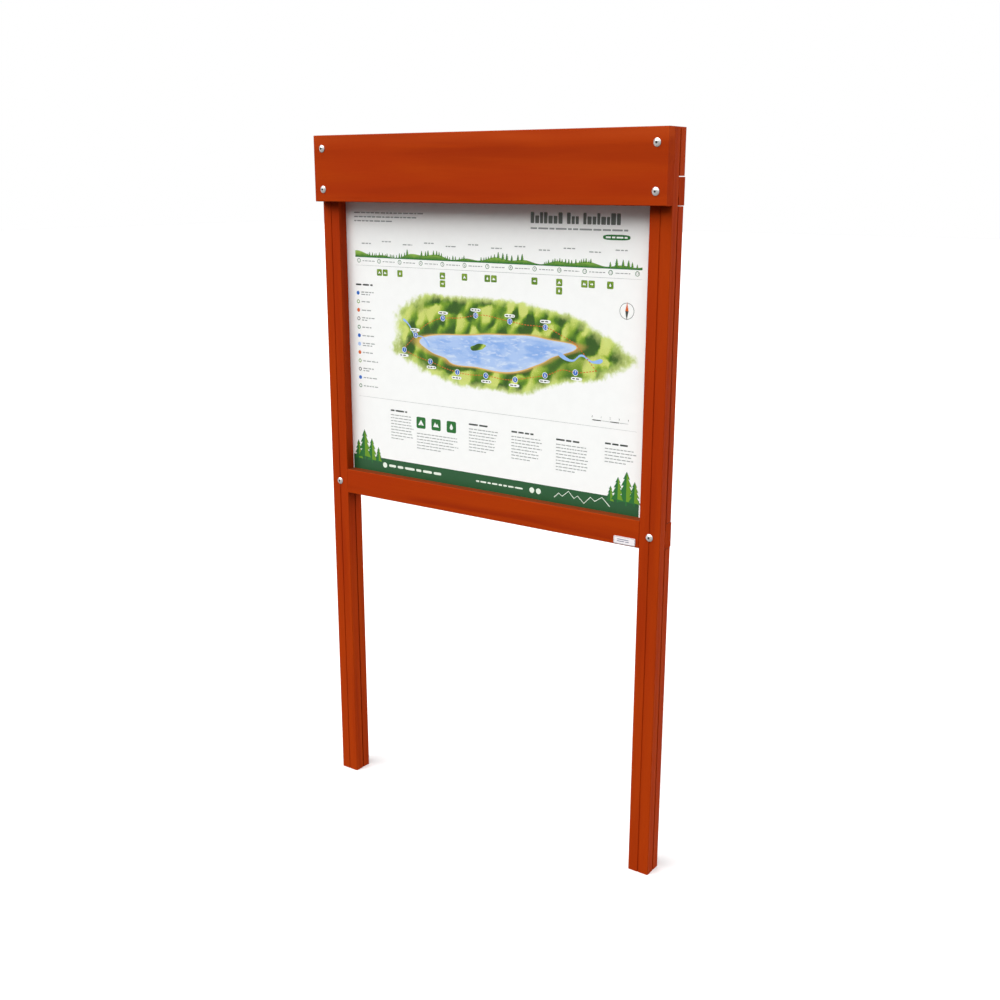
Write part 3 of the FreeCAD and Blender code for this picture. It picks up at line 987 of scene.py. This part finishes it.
def rim_master(width, height, thick, corner, bar):
    """A thin raised frame with rounded corners, flat on its back."""
    bpy.ops.mesh.primitive_plane_add(size=1.0)
    rim = bpy.context.object
    place_mesh(rim, Matrix.Diagonal((width, height, 1, 1)))
    with editing(rim):
        pick_all()
        bpy.ops.mesh.bevel(offset=corner, segments=5, affect="VERTICES")
        pick_all()
        bpy.ops.mesh.inset(thickness=bar)
        bpy.ops.mesh.delete(type="FACE")
        pick_all()
        grow(thick)
    settle(rim)
    return rim


def pin_master(radius):
    """The low domed head of a pin, flat on its back."""
    bpy.ops.mesh.primitive_uv_sphere_add(segments=20, ring_count=10, radius=radius)
    pin = bpy.context.object
    with editing(pin):
        pick_faces(pin, lambda spot, normal: spot.z < 0)
        bpy.ops.mesh.delete(type="FACE")
        close_holes(pin)
        pick_all()
        squeeze(1.0, 0.5)
    settle(pin)
    return pin


class BOARD_OT_fit_plate(bpy.types.Operator):
    """Enamels the small plate and adds its raised rim, its two pins and its fine lines"""
    bl_idname = "board.fit_plate"
    bl_label = "Fit the small plate"

    def execute(self, context):
        coat(NODES["maker_plate"], enamel_material())
        middle, low, high = middle_of("maker_plate")
        size = high - low
        margin, sunk, inset, line_height = 3 * MM, 0.05 * MM, 5.5 * MM, 3.2
        rim = rim_master(size.x - margin, size.z - margin, thick=0.35 * MM, corner=3 * MM, bar=1.1 * MM)
        rim.name = "plate_rim"
        place_mesh(rim, Matrix.Translation((middle.x, low.y + sunk, middle.z)) @ TO_PANEL)
        hand_over(rim, metal_material("plate_rim_steel", colour(150, 150, 152), 0.3), "plate_enamel")
        pin = pin_master(radius=1.5 * MM)
        reach = size.x / 2 - inset
        pins = copies("plate_pins", pin, [
            Matrix.Translation((middle.x + way * reach, low.y, middle.z)) @ TO_PANEL for way in (-1, 1)])
        hand_over(pins, bpy.data.materials["stainless_steel"], "plate_enamel")
        smooth(pins, 40)
        bar = block(corner=0.25)
        x, z = middle.x / MM, middle.z / MM
        lines = copies("plate_lines", bar, [
            stamp_place(x + across, z + up, width, line_height, level=0, face=low.y, layer=0.05)
            for across, width, up in ((-6, 52, 3.5), (-15, 34, -4), (13, 16, -4))])
        hand_over(lines, ink_material("plate", colour(112, 118, 138)), "plate_enamel")
        discard(pin, bar)
        return {"FINISHED"}


class BOARD_OT_face_panel(bpy.types.Operator):
    """Gives the panel its white satin laminate, with a duller back"""
    bl_idname = "board.face_panel"
    bl_label = "Face the panel"

    def execute(self, context):
        laminate, shader, point = new_material("panel_laminate")
        white, roughness = printed_tone(point, context.scene.board_print.paper, 0.05)
        _, backward, _ = split(facing(point))
        behind = spread(backward, -0.9, 0.5)
        weave = noise(point, 1400.0, detail=1.0)
        back = blend(spread(weave, 0.35, 0.65), colour(206, 208, 206), colour(196, 198, 197))
        paint(shader, blend(behind, white, back), behind * 0.15 + roughness, PRINT_GLOSS)
        emboss(shader, weave, 0.01 * MM, 0.4)
        coat(NODES["notice_panel"], laminate)
        return {"FINISHED"}


# The printed face: wavy outlines are (middle, reach, turn, waves), and lines are their points

LAND = ((40, 2122), (556, 190), -3,
        ((2, 0.05, 0.4), (3, 0.07, 1.1), (5, 0.035, 2.0), (9, 0.02, 0.3), (14, 0.012, 1.7)))
LAKE = ((29, 2093), (332, 76), 5, ((2, 0.10, 2.6), (3, 0.13, 0.2), (5, 0.07, 1.3), (8, 0.035, 0.6)))
ISLAND = ((-48, 2102), (36, 14), 8, ((2, 0.15, 0.5), (5, 0.06, 0.2)))
RIVER = ((340, 2109), (405, 2084), (447, 2108), (493, 2087), (540, 2095))
BROOK = ((-300, 2084), (-334, 2122), (-376, 2129), (-413, 2174), (-440, 2192))
WEST_PATH = ((-444, 2064), (-367, 2037), (-292, 2021), (-202, 1997), (-103, 1985), (-4, 1988), (102, 1981),
             (205, 1999), (293, 2019), (359, 2044), (427, 2039), (513, 2053))
NORTH_PATH = ((-444, 2064), (-391, 2109), (-334, 2165), (-246, 2205), (-136, 2216), (-26, 2234), (84, 2221),
              (183, 2209), (282, 2205), (359, 2176), (427, 2142), (513, 2053))
BAND_RIDGE = ((330, 1524), (352, 1544), (368, 1533), (398, 1558), (424, 1532), (440, 1545), (470, 1519),
              (500, 1549), (520, 1535), (552, 1556), (588, 1524))
CORNER_TREES = ((-712, 1540, 96), (-676, 1546, 140), (-634, 1538, 112), (-596, 1542, 72),
                (590, 1540, 70), (622, 1546, 104), (660, 1538, 138), (696, 1542, 98))
STOPS_LINE = 2445
PRINT_REACH = 700


def print_draw(turn):
    """The random draws of one step of the printing."""
    return random.Random(bpy.context.scene.board_print.seed + turn)


class BOARD_OT_print_band(bpy.types.Operator):
    """Prints the green band along the bottom, with its pale marks"""
    bl_idname = "board.print_band"
    bl_label = "Print the bottom band"

    def execute(self, context):
        draw = print_draw(0)
        bottom, middle, top = SIGHT_BOTTOM - 30, SIGHT_BOTTOM + 36, SIGHT_BOTTOM + 65
        outline = rectangle(SIGHT_LEFT + 3, bottom, SIGHT_RIGHT - 28, top)
        print_outline("band", outline, ink("band"), level=0)
        lines = words(draw, left=-536, up=middle, width=310, height=11, longest=70)
        lines += words(draw, left=-60, up=middle - 2, width=250, height=7, longest=44)
        print_marks("band_lines", block(corner=0.22), lines, ink("pale"))
        print_outline("band_ridge", ribbon(BAND_RIDGE, width=3.2), ink("pale"), level=1)
        spots = [(x, middle - 1) for x in (-560, 222, 254)]
        print_marks("band_discs", disc(), even(spots, size=24, level=1), ink("pale"))
        return {"FINISHED"}


class BOARD_OT_print_map(bpy.types.Operator):
    """Prints the wooded land with its lake, river and island"""
    bl_idname = "board.print_map"
    bl_label = "Print the map"

    def execute(self, context):
        sand = ink_material("sand", colour(214, 176, 104), 0.3)
        stream = ink_material("stream", colour(146, 182, 234), 0.2)
        land = print_material("land", land_pattern)
        for name, outline, level, finish in (
                ("land", blob(*LAND, count=72, stretch=1.12), 0, land),
                ("beach", blob(*LAKE, count=56, margin=5), 2, sand),
                ("lake", blob(*LAKE, count=56), 3, print_material("water", water_pattern)),
                ("river", ribbon(RIVER, width=8), 4, stream),
                ("brook", ribbon(BROOK, width=5), 4, stream),
                ("island", blob(*ISLAND, count=24), 4, land)):
            print_outline(name, outline, finish, level, rounded=True)
        return {"FINISHED"}


@cache
def reach_group(name, heart, reach, turn, waves):
    """How far out a point of the panel lies from a wavy outline's heart: 1 on the outline."""
    group, point = new_group(name, "Vector")
    right, _, high = split(point)
    across, up = right - heart[0] * MM, high - heart[1] * MM
    cosine, sine = math.cos(math.radians(turn)), math.sin(math.radians(turn))
    wide, tall = reach[0] * MM, reach[1] * MM
    first = across * (cosine / wide) + up * (sine / wide)
    second = up * (cosine / tall) - across * (sine / tall)
    angle = second.maths("ARCTAN2", first)
    ripples = [(angle * number + start).maths("SINE") * depth for number, depth, start in waves]
    scale = sum(ripples[1:], ripples[0] + 1.0)
    return end_group(group, Reach=(first * first + second * second).maths("SQRT") / scale)


def out_from(point, name, outline):
    """How far out a point lies from the heart of a wavy outline."""
    return use_group(reach_group(name, *outline), point)["Reach"]


def hill_depth(point):
    """How far down a rounded hill each point lies, from its top."""
    inputs = {"Vector": point, "Scale": 13.0, "Smoothness": 0.3}
    return node(point.tree, "TexVoronoi", inputs, "Distance", feature="SMOOTH_F1")


def colour_ramp(value, stops):
    """The colour of a value between stops, each given as its place and its screen colour."""
    result = node(value.tree, "ValToRGB", (value,))
    ramp = result.socket.node.color_ramp
    ramp.elements.remove(ramp.elements[1])
    for index, (place, tint) in enumerate(stops):
        stop = ramp.elements.new(place) if index else ramp.elements[0]
        stop.position = place
        stop.color = (*colour(*tint), 1.0)
    return result


def land_pattern(point):
    """Wooded hills painted as relief, which pale into the white of the panel at the land's edge."""
    flat = point * (1.0, 0.0, 0.8)
    rolling = flat + stray(flat, 22.0, detail=4.0) * (0.05, 0.0, 0.05)
    here = hill_depth(rolling)
    there = hill_depth(rolling + (-0.006, 0.0, 0.007))
    woods = noise(flat, 330.0, detail=3.0, rough=0.6)
    relief = colour_ramp((woods - 0.5) * 0.75 + spread(there - here, -0.09, 0.10), (
        (0.0, (46, 78, 26)), (0.3, (84, 124, 36)), (0.58, (124, 158, 48)), (0.82, (170, 190, 76)),
        (1.0, (206, 214, 118))))
    shore = out_from(point, "lake_reach", LAKE) + woods * 0.2
    sandy = spread(shore, 1.0, 1.08) * spread(shore, 1.12, 1.26, 0.7, 0.0)
    ragged = noise(flat, 34.0, detail=4.0, rough=0.6) - 0.5
    edge = ragged * 0.22 + out_from(point, "land_reach", LAND)
    white, roughness = printed_tone(point, bpy.context.scene.board_print.paper, 0.05)
    base = overlay(
        relief, (spread(here, 0.5, 0.85, 0.0, 0.4), colour(60, 92, 34)), (sandy, colour(196, 156, 88)),
        (spread(edge, 0.84, 1.0, 0.0, 0.8), colour(208, 222, 130)), (spread(edge, 0.95, 1.05), white))
    return base, roughness


def water_pattern(point):
    """Washed blue water, paler towards its shore."""
    wash = noise(point, (9.0, 9.0, 27.0), detail=5.0, warp=0.6)
    light = noise(point, (30.0, 30.0, 90.0), detail=4.0)
    shallow = (light - 0.5) * 0.3 + out_from(point, "lake_reach", LAKE)
    base = overlay(
        blend(spread(wash, 0.38, 0.62), colour(138, 174, 230), bpy.context.scene.board_print.water),
        (spread(light, 0.52, 0.7, 0.0, 0.6), colour(224, 234, 248)),
        (spread(shallow, 0.74, 1.0, 0.0, 0.55), colour(206, 222, 242)))
    return base, spread(wash, 0.3, 0.7, 0.34, 0.44)


class BOARD_OT_print_paths(bpy.types.Operator):
    """Prints the dashed footpaths, the numbered discs and the small labels of the map"""
    bl_idname = "board.print_paths"
    bl_label = "Print the footpaths"

    def execute(self, context):
        draw = print_draw(1)
        dashes = [mark(x, y, width=8, height=3.4, level=5, angle=angle) for path in (WEST_PATH, NORTH_PATH)
                  for x, y, angle in along(path, step=13.5, start=6)]
        print_marks("path_dashes", block(corner=0.3), dashes, ink("path"))
        stops = along(WEST_PATH, step=146, start=8) + along(NORTH_PATH, step=170, start=96)[:5]
        print_marks("stop_rims", disc(), even(stops, size=25, level=5), ink("white"))
        print_marks("stop_discs", disc(), even(stops, size=21, level=6), ink("sign_blue"))
        figures = [(index + 1, x, y) for index, (x, y, _) in enumerate(stops)]
        print_numbers("stop_numbers", figures, ink("white"), height=13, level=7)
        upper_half, above, below, sideways = 2100, 22, -24, 6
        labels = [(x + draw.uniform(-sideways, sideways), y + (above if y > upper_half else below))
                  for x, y, _ in stops]
        grounds = [mark(x, y, width=50, height=13, level=6) for x, y in labels]
        print_marks("label_grounds", block(corner=0.3), grounds, ink("white"))
        lines = []
        for x, y in labels:
            lines += words(draw, left=x - 20, up=y, width=40, height=4.6, longest=17, level=7)
        print_marks("label_lines", block(corner=0.3), lines, ink("ink"))
        return {"FINISHED"}


def conifer_outline(half_only=False):
    """A four-storey conifer of unit height and width standing on zero, or only its sunny half."""
    half = ((0.045, 0.0), (0.045, 0.11), (0.5, 0.09), (0.22, 0.36), (0.41, 0.34), (0.17, 0.58), (0.31, 0.56),
            (0.11, 0.78), (0.2, 0.765), (0.0, 1.0))
    if half_only:
        return [(0.0, 0.13)] + [(x * 0.86, y + 0.012) for x, y in half[2:-1]] + [(0.0, 0.95)]
    return list(half) + [(-x, y) for x, y in half[-2::-1]]


def ridge_height(across):
    """How high the slopes stand above the line of stops."""
    return 9 + 7 * math.sin(across / 61 + 0.7) + 5 * math.sin(across / 23) + 6 * abs(math.sin(across / 150))


def slope_pattern(point):
    """Green slopes, dark at the foot and pale at the crest."""
    _, _, up = split(point)
    mottle = noise(point, 60.0, detail=3.0)
    crest = spread(mottle * (16 * MM) + up, (STOPS_LINE + 6) * MM, (STOPS_LINE + 34) * MM)
    return blend(crest, colour(54, 112, 40), colour(146, 184, 78)), satin(mottle)


class BOARD_OT_print_trees(bpy.types.Operator):
    """Prints the conifers: a long ridge of them above the map and a group in each bottom corner"""
    bl_idname = "board.print_trees"
    bl_label = "Print the conifers"

    def execute(self, context):
        draw = print_draw(2)
        crest = [(x, STOPS_LINE + ridge_height(x)) for x in range(-PRINT_REACH, PRINT_REACH + 1, 10)]
        outline = [(-PRINT_REACH, STOPS_LINE), *crest, (PRINT_REACH, STOPS_LINE)]
        print_outline("ridge", outline, print_material("ridge", slope_pattern), level=0)
        trees = []
        across = -692.0
        while across < 690:
            height = draw.uniform(13, 22) + 12 * max(0.0, math.sin(across / 74.0))
            if math.sin(across / 47.0) > -0.75:
                trees.append((across, STOPS_LINE + max(ridge_height(across) - 6, 0), height))
            across += height * draw.uniform(0.5, 1.1)
        trees += CORNER_TREES
        for name, half_only, rise, tint in (
                ("pine_trees", False, 0, "pine"), ("sunny_halves", True, 1, "leaf")):
            marks = [mark(x, foot, width=height * 0.56, height=height, level=1 + index % 2 * 2 + rise)
                     for index, (x, foot, height) in enumerate(trees)]
            print_marks(name, flat_shape(conifer_outline(half_only)), marks, ink(tint))
        return {"FINISHED"}


class BOARD_OT_print_stops_line(bpy.types.Operator):
    """Prints the line of numbered stops that runs across the sheet, and the two rules"""
    bl_idname = "board.print_stops_line"
    bl_label = "Print the line of stops"

    def execute(self, context):
        draw = print_draw(3)
        outline = rectangle(-PRINT_REACH, STOPS_LINE - 2, PRINT_REACH, STOPS_LINE + 2)
        print_outline("stops_line", outline, ink("pine"), level=2)
        first, step, count, drop = -680, 113.3, 13, 16
        spots = [(first + index * step, STOPS_LINE - drop) for index in range(count)]
        print_marks("stops_rims", disc(), even(spots, size=19, level=2), ink("pine"))
        print_marks("stops_grounds", disc(), even(spots, size=14.5, level=3), ink("white"))
        figures = [(index + 1, *spot) for index, spot in enumerate(spots)]
        print_numbers("stops_numbers", figures, ink("ink"), height=9, level=4)
        lines = []
        for index, (x, y) in enumerate(spots[:-1]):
            up = 2512 if index % 2 else 2502
            lines += words(draw, left=x + 18, up=up, width=52, height=4.2, longest=24)
            lines += words(draw, left=x + 20, up=y - 1, width=70, height=3.2, longest=20)
        print_marks("stops_names", block(corner=0.25), lines, ink("small_ink"))
        rules = [mark(0, up, width=2 * PRINT_REACH, height=1.2, level=1) for up in (STOPS_LINE - 36, 1836)]
        print_marks("rules", block(corner=0.25), rules, ink("small_ink"))
        return {"FINISHED"}


def tile_pattern(point):
    """Olive, unevenly laid."""
    mottle = noise(point, 90.0, detail=3.0)
    return blend(spread(mottle, 0.35, 0.65), colour(84, 122, 36), colour(128, 158, 52)), satin(mottle)


class BOARD_OT_print_tiles(bpy.types.Operator):
    """Prints the green pictogram tiles: tents, peaks, drops and arrows"""
    bl_idname = "board.print_tiles"
    bl_label = "Print the tiles"

    def execute(self, context):
        high, low = 2382, 2350
        tiles = {
            "tent": ((-566, high), (-114, high), (340, high)),
            "peak": ((-534, high), (-227, high), (32, high), (453, high)),
            "drop": ((-453, high), (0, high), (340, low), (566, high)),
            "arrow": ((-227, low), (226, high), (485, high)),
        }
        motifs = {
            "tent": ((-0.42, -0.30), (-0.08, -0.30), (0.0, -0.08), (0.08, -0.30), (0.42, -0.30), (0.0, 0.36)),
            "peak": ((-0.44, -0.28), (-0.14, 0.30), (0.04, -0.02), (0.16, 0.14), (0.44, -0.28)),
            "drop": ((0.0, 0.40), (0.2, 0.06), (0.24, -0.14), (0.12, -0.32), (-0.12, -0.32), (-0.24, -0.14),
                     (-0.2, 0.06)),
            "arrow": ((-0.36, -0.1), (0.06, -0.1), (0.06, -0.3), (0.4, 0.0), (0.06, 0.3), (0.06, 0.1),
                      (-0.36, 0.1)),
        }
        large = [(-352, 1752), (-270, 1752), (-188, 1752)]
        spots = [spot for kind in tiles.values() for spot in kind]
        olive = print_material("tile", tile_pattern)
        print_marks("tiles", block(corner=0.14), even(spots, size=28, level=0), olive)
        for index, (kind, outline) in enumerate(motifs.items()):
            marks = even(tiles[kind], size=18, level=1) + even(large[index:index + 1], size=36, level=1)
            print_marks(kind + "_motifs", flat_shape(outline), marks, ink("white"))
        print_marks("large_tiles", block(corner=0.14), even(large, size=50, level=0), ink("pine"))
        return {"FINISHED"}


class BOARD_OT_print_key(bpy.types.Operator):
    """Prints the key down the left side, the compass and the scale"""
    bl_idname = "board.print_key"
    bl_label = "Print the key"

    def execute(self, context):
        draw = print_draw(4)
        top, pitch, count, left = 2290, 37, 12, -672
        rows = [top - pitch * index for index in range(count)]
        kinds = ("sign_blue", "leaf", "path", "ink", "pine", "sign_blue",
                 "water", "path", "leaf", "ink", "sign_blue", "pine")
        for name in dict.fromkeys(kinds):
            spots = [(-690, up) for up, kind in zip(rows, kinds) if kind == name]
            hole = 0.0 if name in ("sign_blue", "path", "water") else 0.6
            print_marks("key_" + name, disc(corners=20, hole=hole), even(spots, size=17, level=1), ink(name))
        heading = words(draw, left=-702, up=2326, width=96, height=7.5, longest=52)
        print_marks("key_heading", block(corner=0.25), heading, ink("ink"))
        lines = []
        for index, up in enumerate(rows):
            double = index % 3 == 0
            first = up + 4 if double else up
            lines += words(draw, left, first, width=draw.uniform(52, 92), height=4.4, longest=26)
            if double:
                lines += words(draw, left, up - 6, width=draw.uniform(30, 60), height=4.4, longest=26)
        print_marks("key_lines", block(corner=0.25), lines, ink("small_ink"))
        across, up, reach, half = 640, 2290, 34, 7
        for name, way, tint in (("compass_north", 1, "path"), ("compass_south", -1, "ink")):
            needle = [(across, up + reach * way), (across + half * way, up), (across - half * way, up)]
            print_outline(name, needle, ink(tint), level=2)
        ring = even([(across, up)], size=62, level=1)
        print_marks("compass_ring", disc(corners=40, hole=0.94), ring, ink("ink"))
        start, step, parts = 500, 40, 4
        for name, first, height in (("scale_dark", 0, 4), ("scale_light", 1, 1.2)):
            segments = [mark(start + step / 2 + step * index, 1862, width=step, height=height, level=1)
                        for index in range(first, parts, 2)]
            print_marks(name, block(corner=0.25), segments, ink("ink"))
        figures = [(index, start + step * index, 1875) for index in range(parts + 1)]
        print_numbers("scale_numbers", figures, ink("ink"), height=8, level=1)
        return {"FINISHED"}


class BOARD_OT_print_lines(bpy.types.Operator):
    """Prints the title, the heading bars and the columns of small print"""
    bl_idname = "board.print_lines"
    bl_label = "Print the lines"

    def execute(self, context):
        draw = print_draw(5)
        left, foot, tall, short, gap, space = 206, 2603, 42, 29, 4, 16
        title, at = [], left
        for letters in (7, 3, 8):
            for place in range(letters):
                width = draw.uniform(13, 21)
                height = tall if place == 0 or draw.random() < 0.28 else short
                title.append(mark(at + width / 2, foot + height / 2, width, height, level=1))
                at += width + gap
            at += space
        print_marks("title_bars", block(corner=0.12), title, ink("title"))
        under = words(draw, left, up=2584, width=430, height=6.5, longest=64)
        print_marks("title_lines", block(corner=0.12), under, ink("small_ink"))
        badge = mark(588, 2558, width=116, height=20, level=1)
        print_marks("title_badge", block(corner=0.3), [badge], ink("pine"))
        line = words(draw, left=542, up=2558, width=92, height=6, longest=34, level=2)
        print_marks("title_badge_line", block(corner=0.12), line, ink("white"))
        small = []
        for up, width in ((2630, 380), (2613, 340), (2596, 210)):
            small += words(draw, left=-700, up=up, width=width, height=5, longest=34)
        print_marks("side_lines", block(corner=0.12), small, ink("small_ink"))
        heads, lines = [], []
        for left, top, width, rows in ((-520, 1790, 128, 9), (-96, 1776, 150, 8), (120, 1770, 150, 8),
                                       (336, 1764, 150, 9), (560, 1776, 140, 5)):
            heads += words(draw, left, top, width=width * 0.72, height=7, longest=50)
            lines += paragraph(draw, left, top - 20, width, rows)
        lines += paragraph(draw, left=-376, top=1704, width=226, rows=6)
        print_marks("column_heads", block(corner=0.12), heads, ink("ink"))
        print_marks("column_lines", block(corner=0.12), lines, ink("small_ink"))
        return {"FINISHED"}


# The studio, with each lamp's height, side and softness in degrees

LAMPS = {"key": (48, -32, 56), "fill": (36, 40, 50), "side": (22, 120, 50), "back": (22, -140, 50)}
CAMERA_PLACE = (2.805, -3.937, 2.753)
CAMERA_HEADING, CAMERA_DIP, CAMERA_TILT = 34.741, 14.924, 0.089


def seen(tree):
    """1 for what is looked at, straight or by way of gloss or glass, and 0 for what only lights."""
    rays = node(tree, "LightPath").beside()
    straight = rays["Is Camera Ray"].maths("MAXIMUM", rays["Is Glossy Ray"])
    return straight.maths("MAXIMUM", rays["Is Transmission Ray"])


def floor_material(tint):
    """A pale floor that throws little light back on the board."""
    material, shader, point = new_material("studio_floor")
    tree = material.node_tree
    pale = blend(spread(noise(point, 2.0, detail=4.0), 0.3, 0.7, 0.0, 0.04), tint, (1.0, 1.0, 1.0))
    looked_at = seen(tree)
    paint(shader, blend(looked_at, colour(60, 60, 60), pale), 0.9, 0.1)
    glow = node(tree, "Emission", {"Strength": looked_at * 0.1})
    both = node(tree, "AddShader", (Value(tree.nodes["Principled BSDF"].outputs[0]), glow))
    feed(tree.nodes["Material Output"].inputs["Surface"], both)
    return material


class BOARD_OT_set_stage(bpy.types.Operator):
    """Lays the floor and sets the soft studio light and the camera"""
    bl_idname = "board.set_stage"
    bl_label = "Set the stage"

    def execute(self, context):
        scene = context.scene
        set_up = scene.board_stage
        scene.view_settings.view_transform = "Standard"
        bpy.ops.mesh.primitive_plane_add(size=120.0, location=(0, 0, 0))
        floor = context.object
        floor.name = "floor"
        with editing(floor):
            pick_all()
            bpy.ops.mesh.subdivide(number_cuts=3)
        coat(floor, floor_material(set_up.floor))

        world = bpy.data.worlds.new("studio")
        scene.world = world
        world.use_nodes = True
        background = world.node_tree.nodes["Background"].inputs
        feed(background["Color"], (1.0, 1.0, 1.0))
        feed(background["Strength"], seen(world.node_tree) * (1.0 - set_up.sky) + set_up.sky)

        for name, (height, side, softness) in LAMPS.items():
            data = bpy.data.lights.new(name, "SUN")
            data.energy = getattr(set_up, name)
            data.angle = math.radians(softness)
            add_object(name, data).rotation_euler = (math.radians(90 - height), 0, math.radians(side))

        data = bpy.data.cameras.new("camera")
        data.lens = set_up.lens
        data.sensor_width = 36.0
        data.clip_end = 200.0
        camera = add_object("camera", data)
        camera.location = CAMERA_PLACE
        turn = Matrix.Rotation(math.radians(CAMERA_HEADING), 4, "Z")
        turn @= Matrix.Rotation(math.radians(90 - CAMERA_DIP), 4, "X")
        camera.rotation_euler = (turn @ Matrix.Rotation(math.radians(CAMERA_TILT), 4, "Z")).to_euler()
        scene.camera = camera
        return {"FINISHED"}


OPERATORS = (
    BOARD_OT_set_stage,
    BOARD_OT_stain_timbers,
    BOARD_OT_finish_bolts,
    BOARD_OT_drive_screws,
    BOARD_OT_fit_plate,
    BOARD_OT_face_panel,
    BOARD_OT_print_band,
    BOARD_OT_print_map,
    BOARD_OT_print_paths,
    BOARD_OT_print_trees,
    BOARD_OT_print_stops_line,
    BOARD_OT_print_tiles,
    BOARD_OT_print_key,
    BOARD_OT_print_lines,
)
SETTINGS = {
    "board_timber": TimberSettings,
    "board_metal": MetalSettings,
    "board_print": PrintSettings,
    "board_stage": StageSettings,
}


class BOARD_PT_sidebar(bpy.types.Panel):
    """The board's settings and the steps that make it"""
    bl_idname = "BOARD_PT_sidebar"
    bl_label = "Notice board"
    bl_space_type = "VIEW_3D"
    bl_region_type = "UI"
    bl_category = "Notice board"

    def draw(self, context):
        for name, settings in SETTINGS.items():
            box = self.layout.box()
            for key in settings.__annotations__:
                box.prop(getattr(context.scene, name), key)
        for step in OPERATORS:
            self.layout.operator(step.bl_idname)


def register():
    for name, settings in SETTINGS.items():
        bpy.utils.register_class(settings)
        setattr(bpy.types.Scene, name, PointerProperty(type=settings))
    for step in OPERATORS:
        bpy.utils.register_class(step)
    bpy.utils.register_class(BOARD_PT_sidebar)


def unregister():
    bpy.utils.unregister_class(BOARD_PT_sidebar)
    for step in reversed(OPERATORS):
        bpy.utils.unregister_class(step)
    for name, settings in reversed(SETTINGS.items()):
        delattr(bpy.types.Scene, name)
        bpy.utils.unregister_class(settings)


def main():
    register()
    for step in OPERATORS:
        category, action = step.bl_idname.split(".")
        getattr(getattr(bpy.ops, category), action)()


if __name__ == "__main__":
    main()
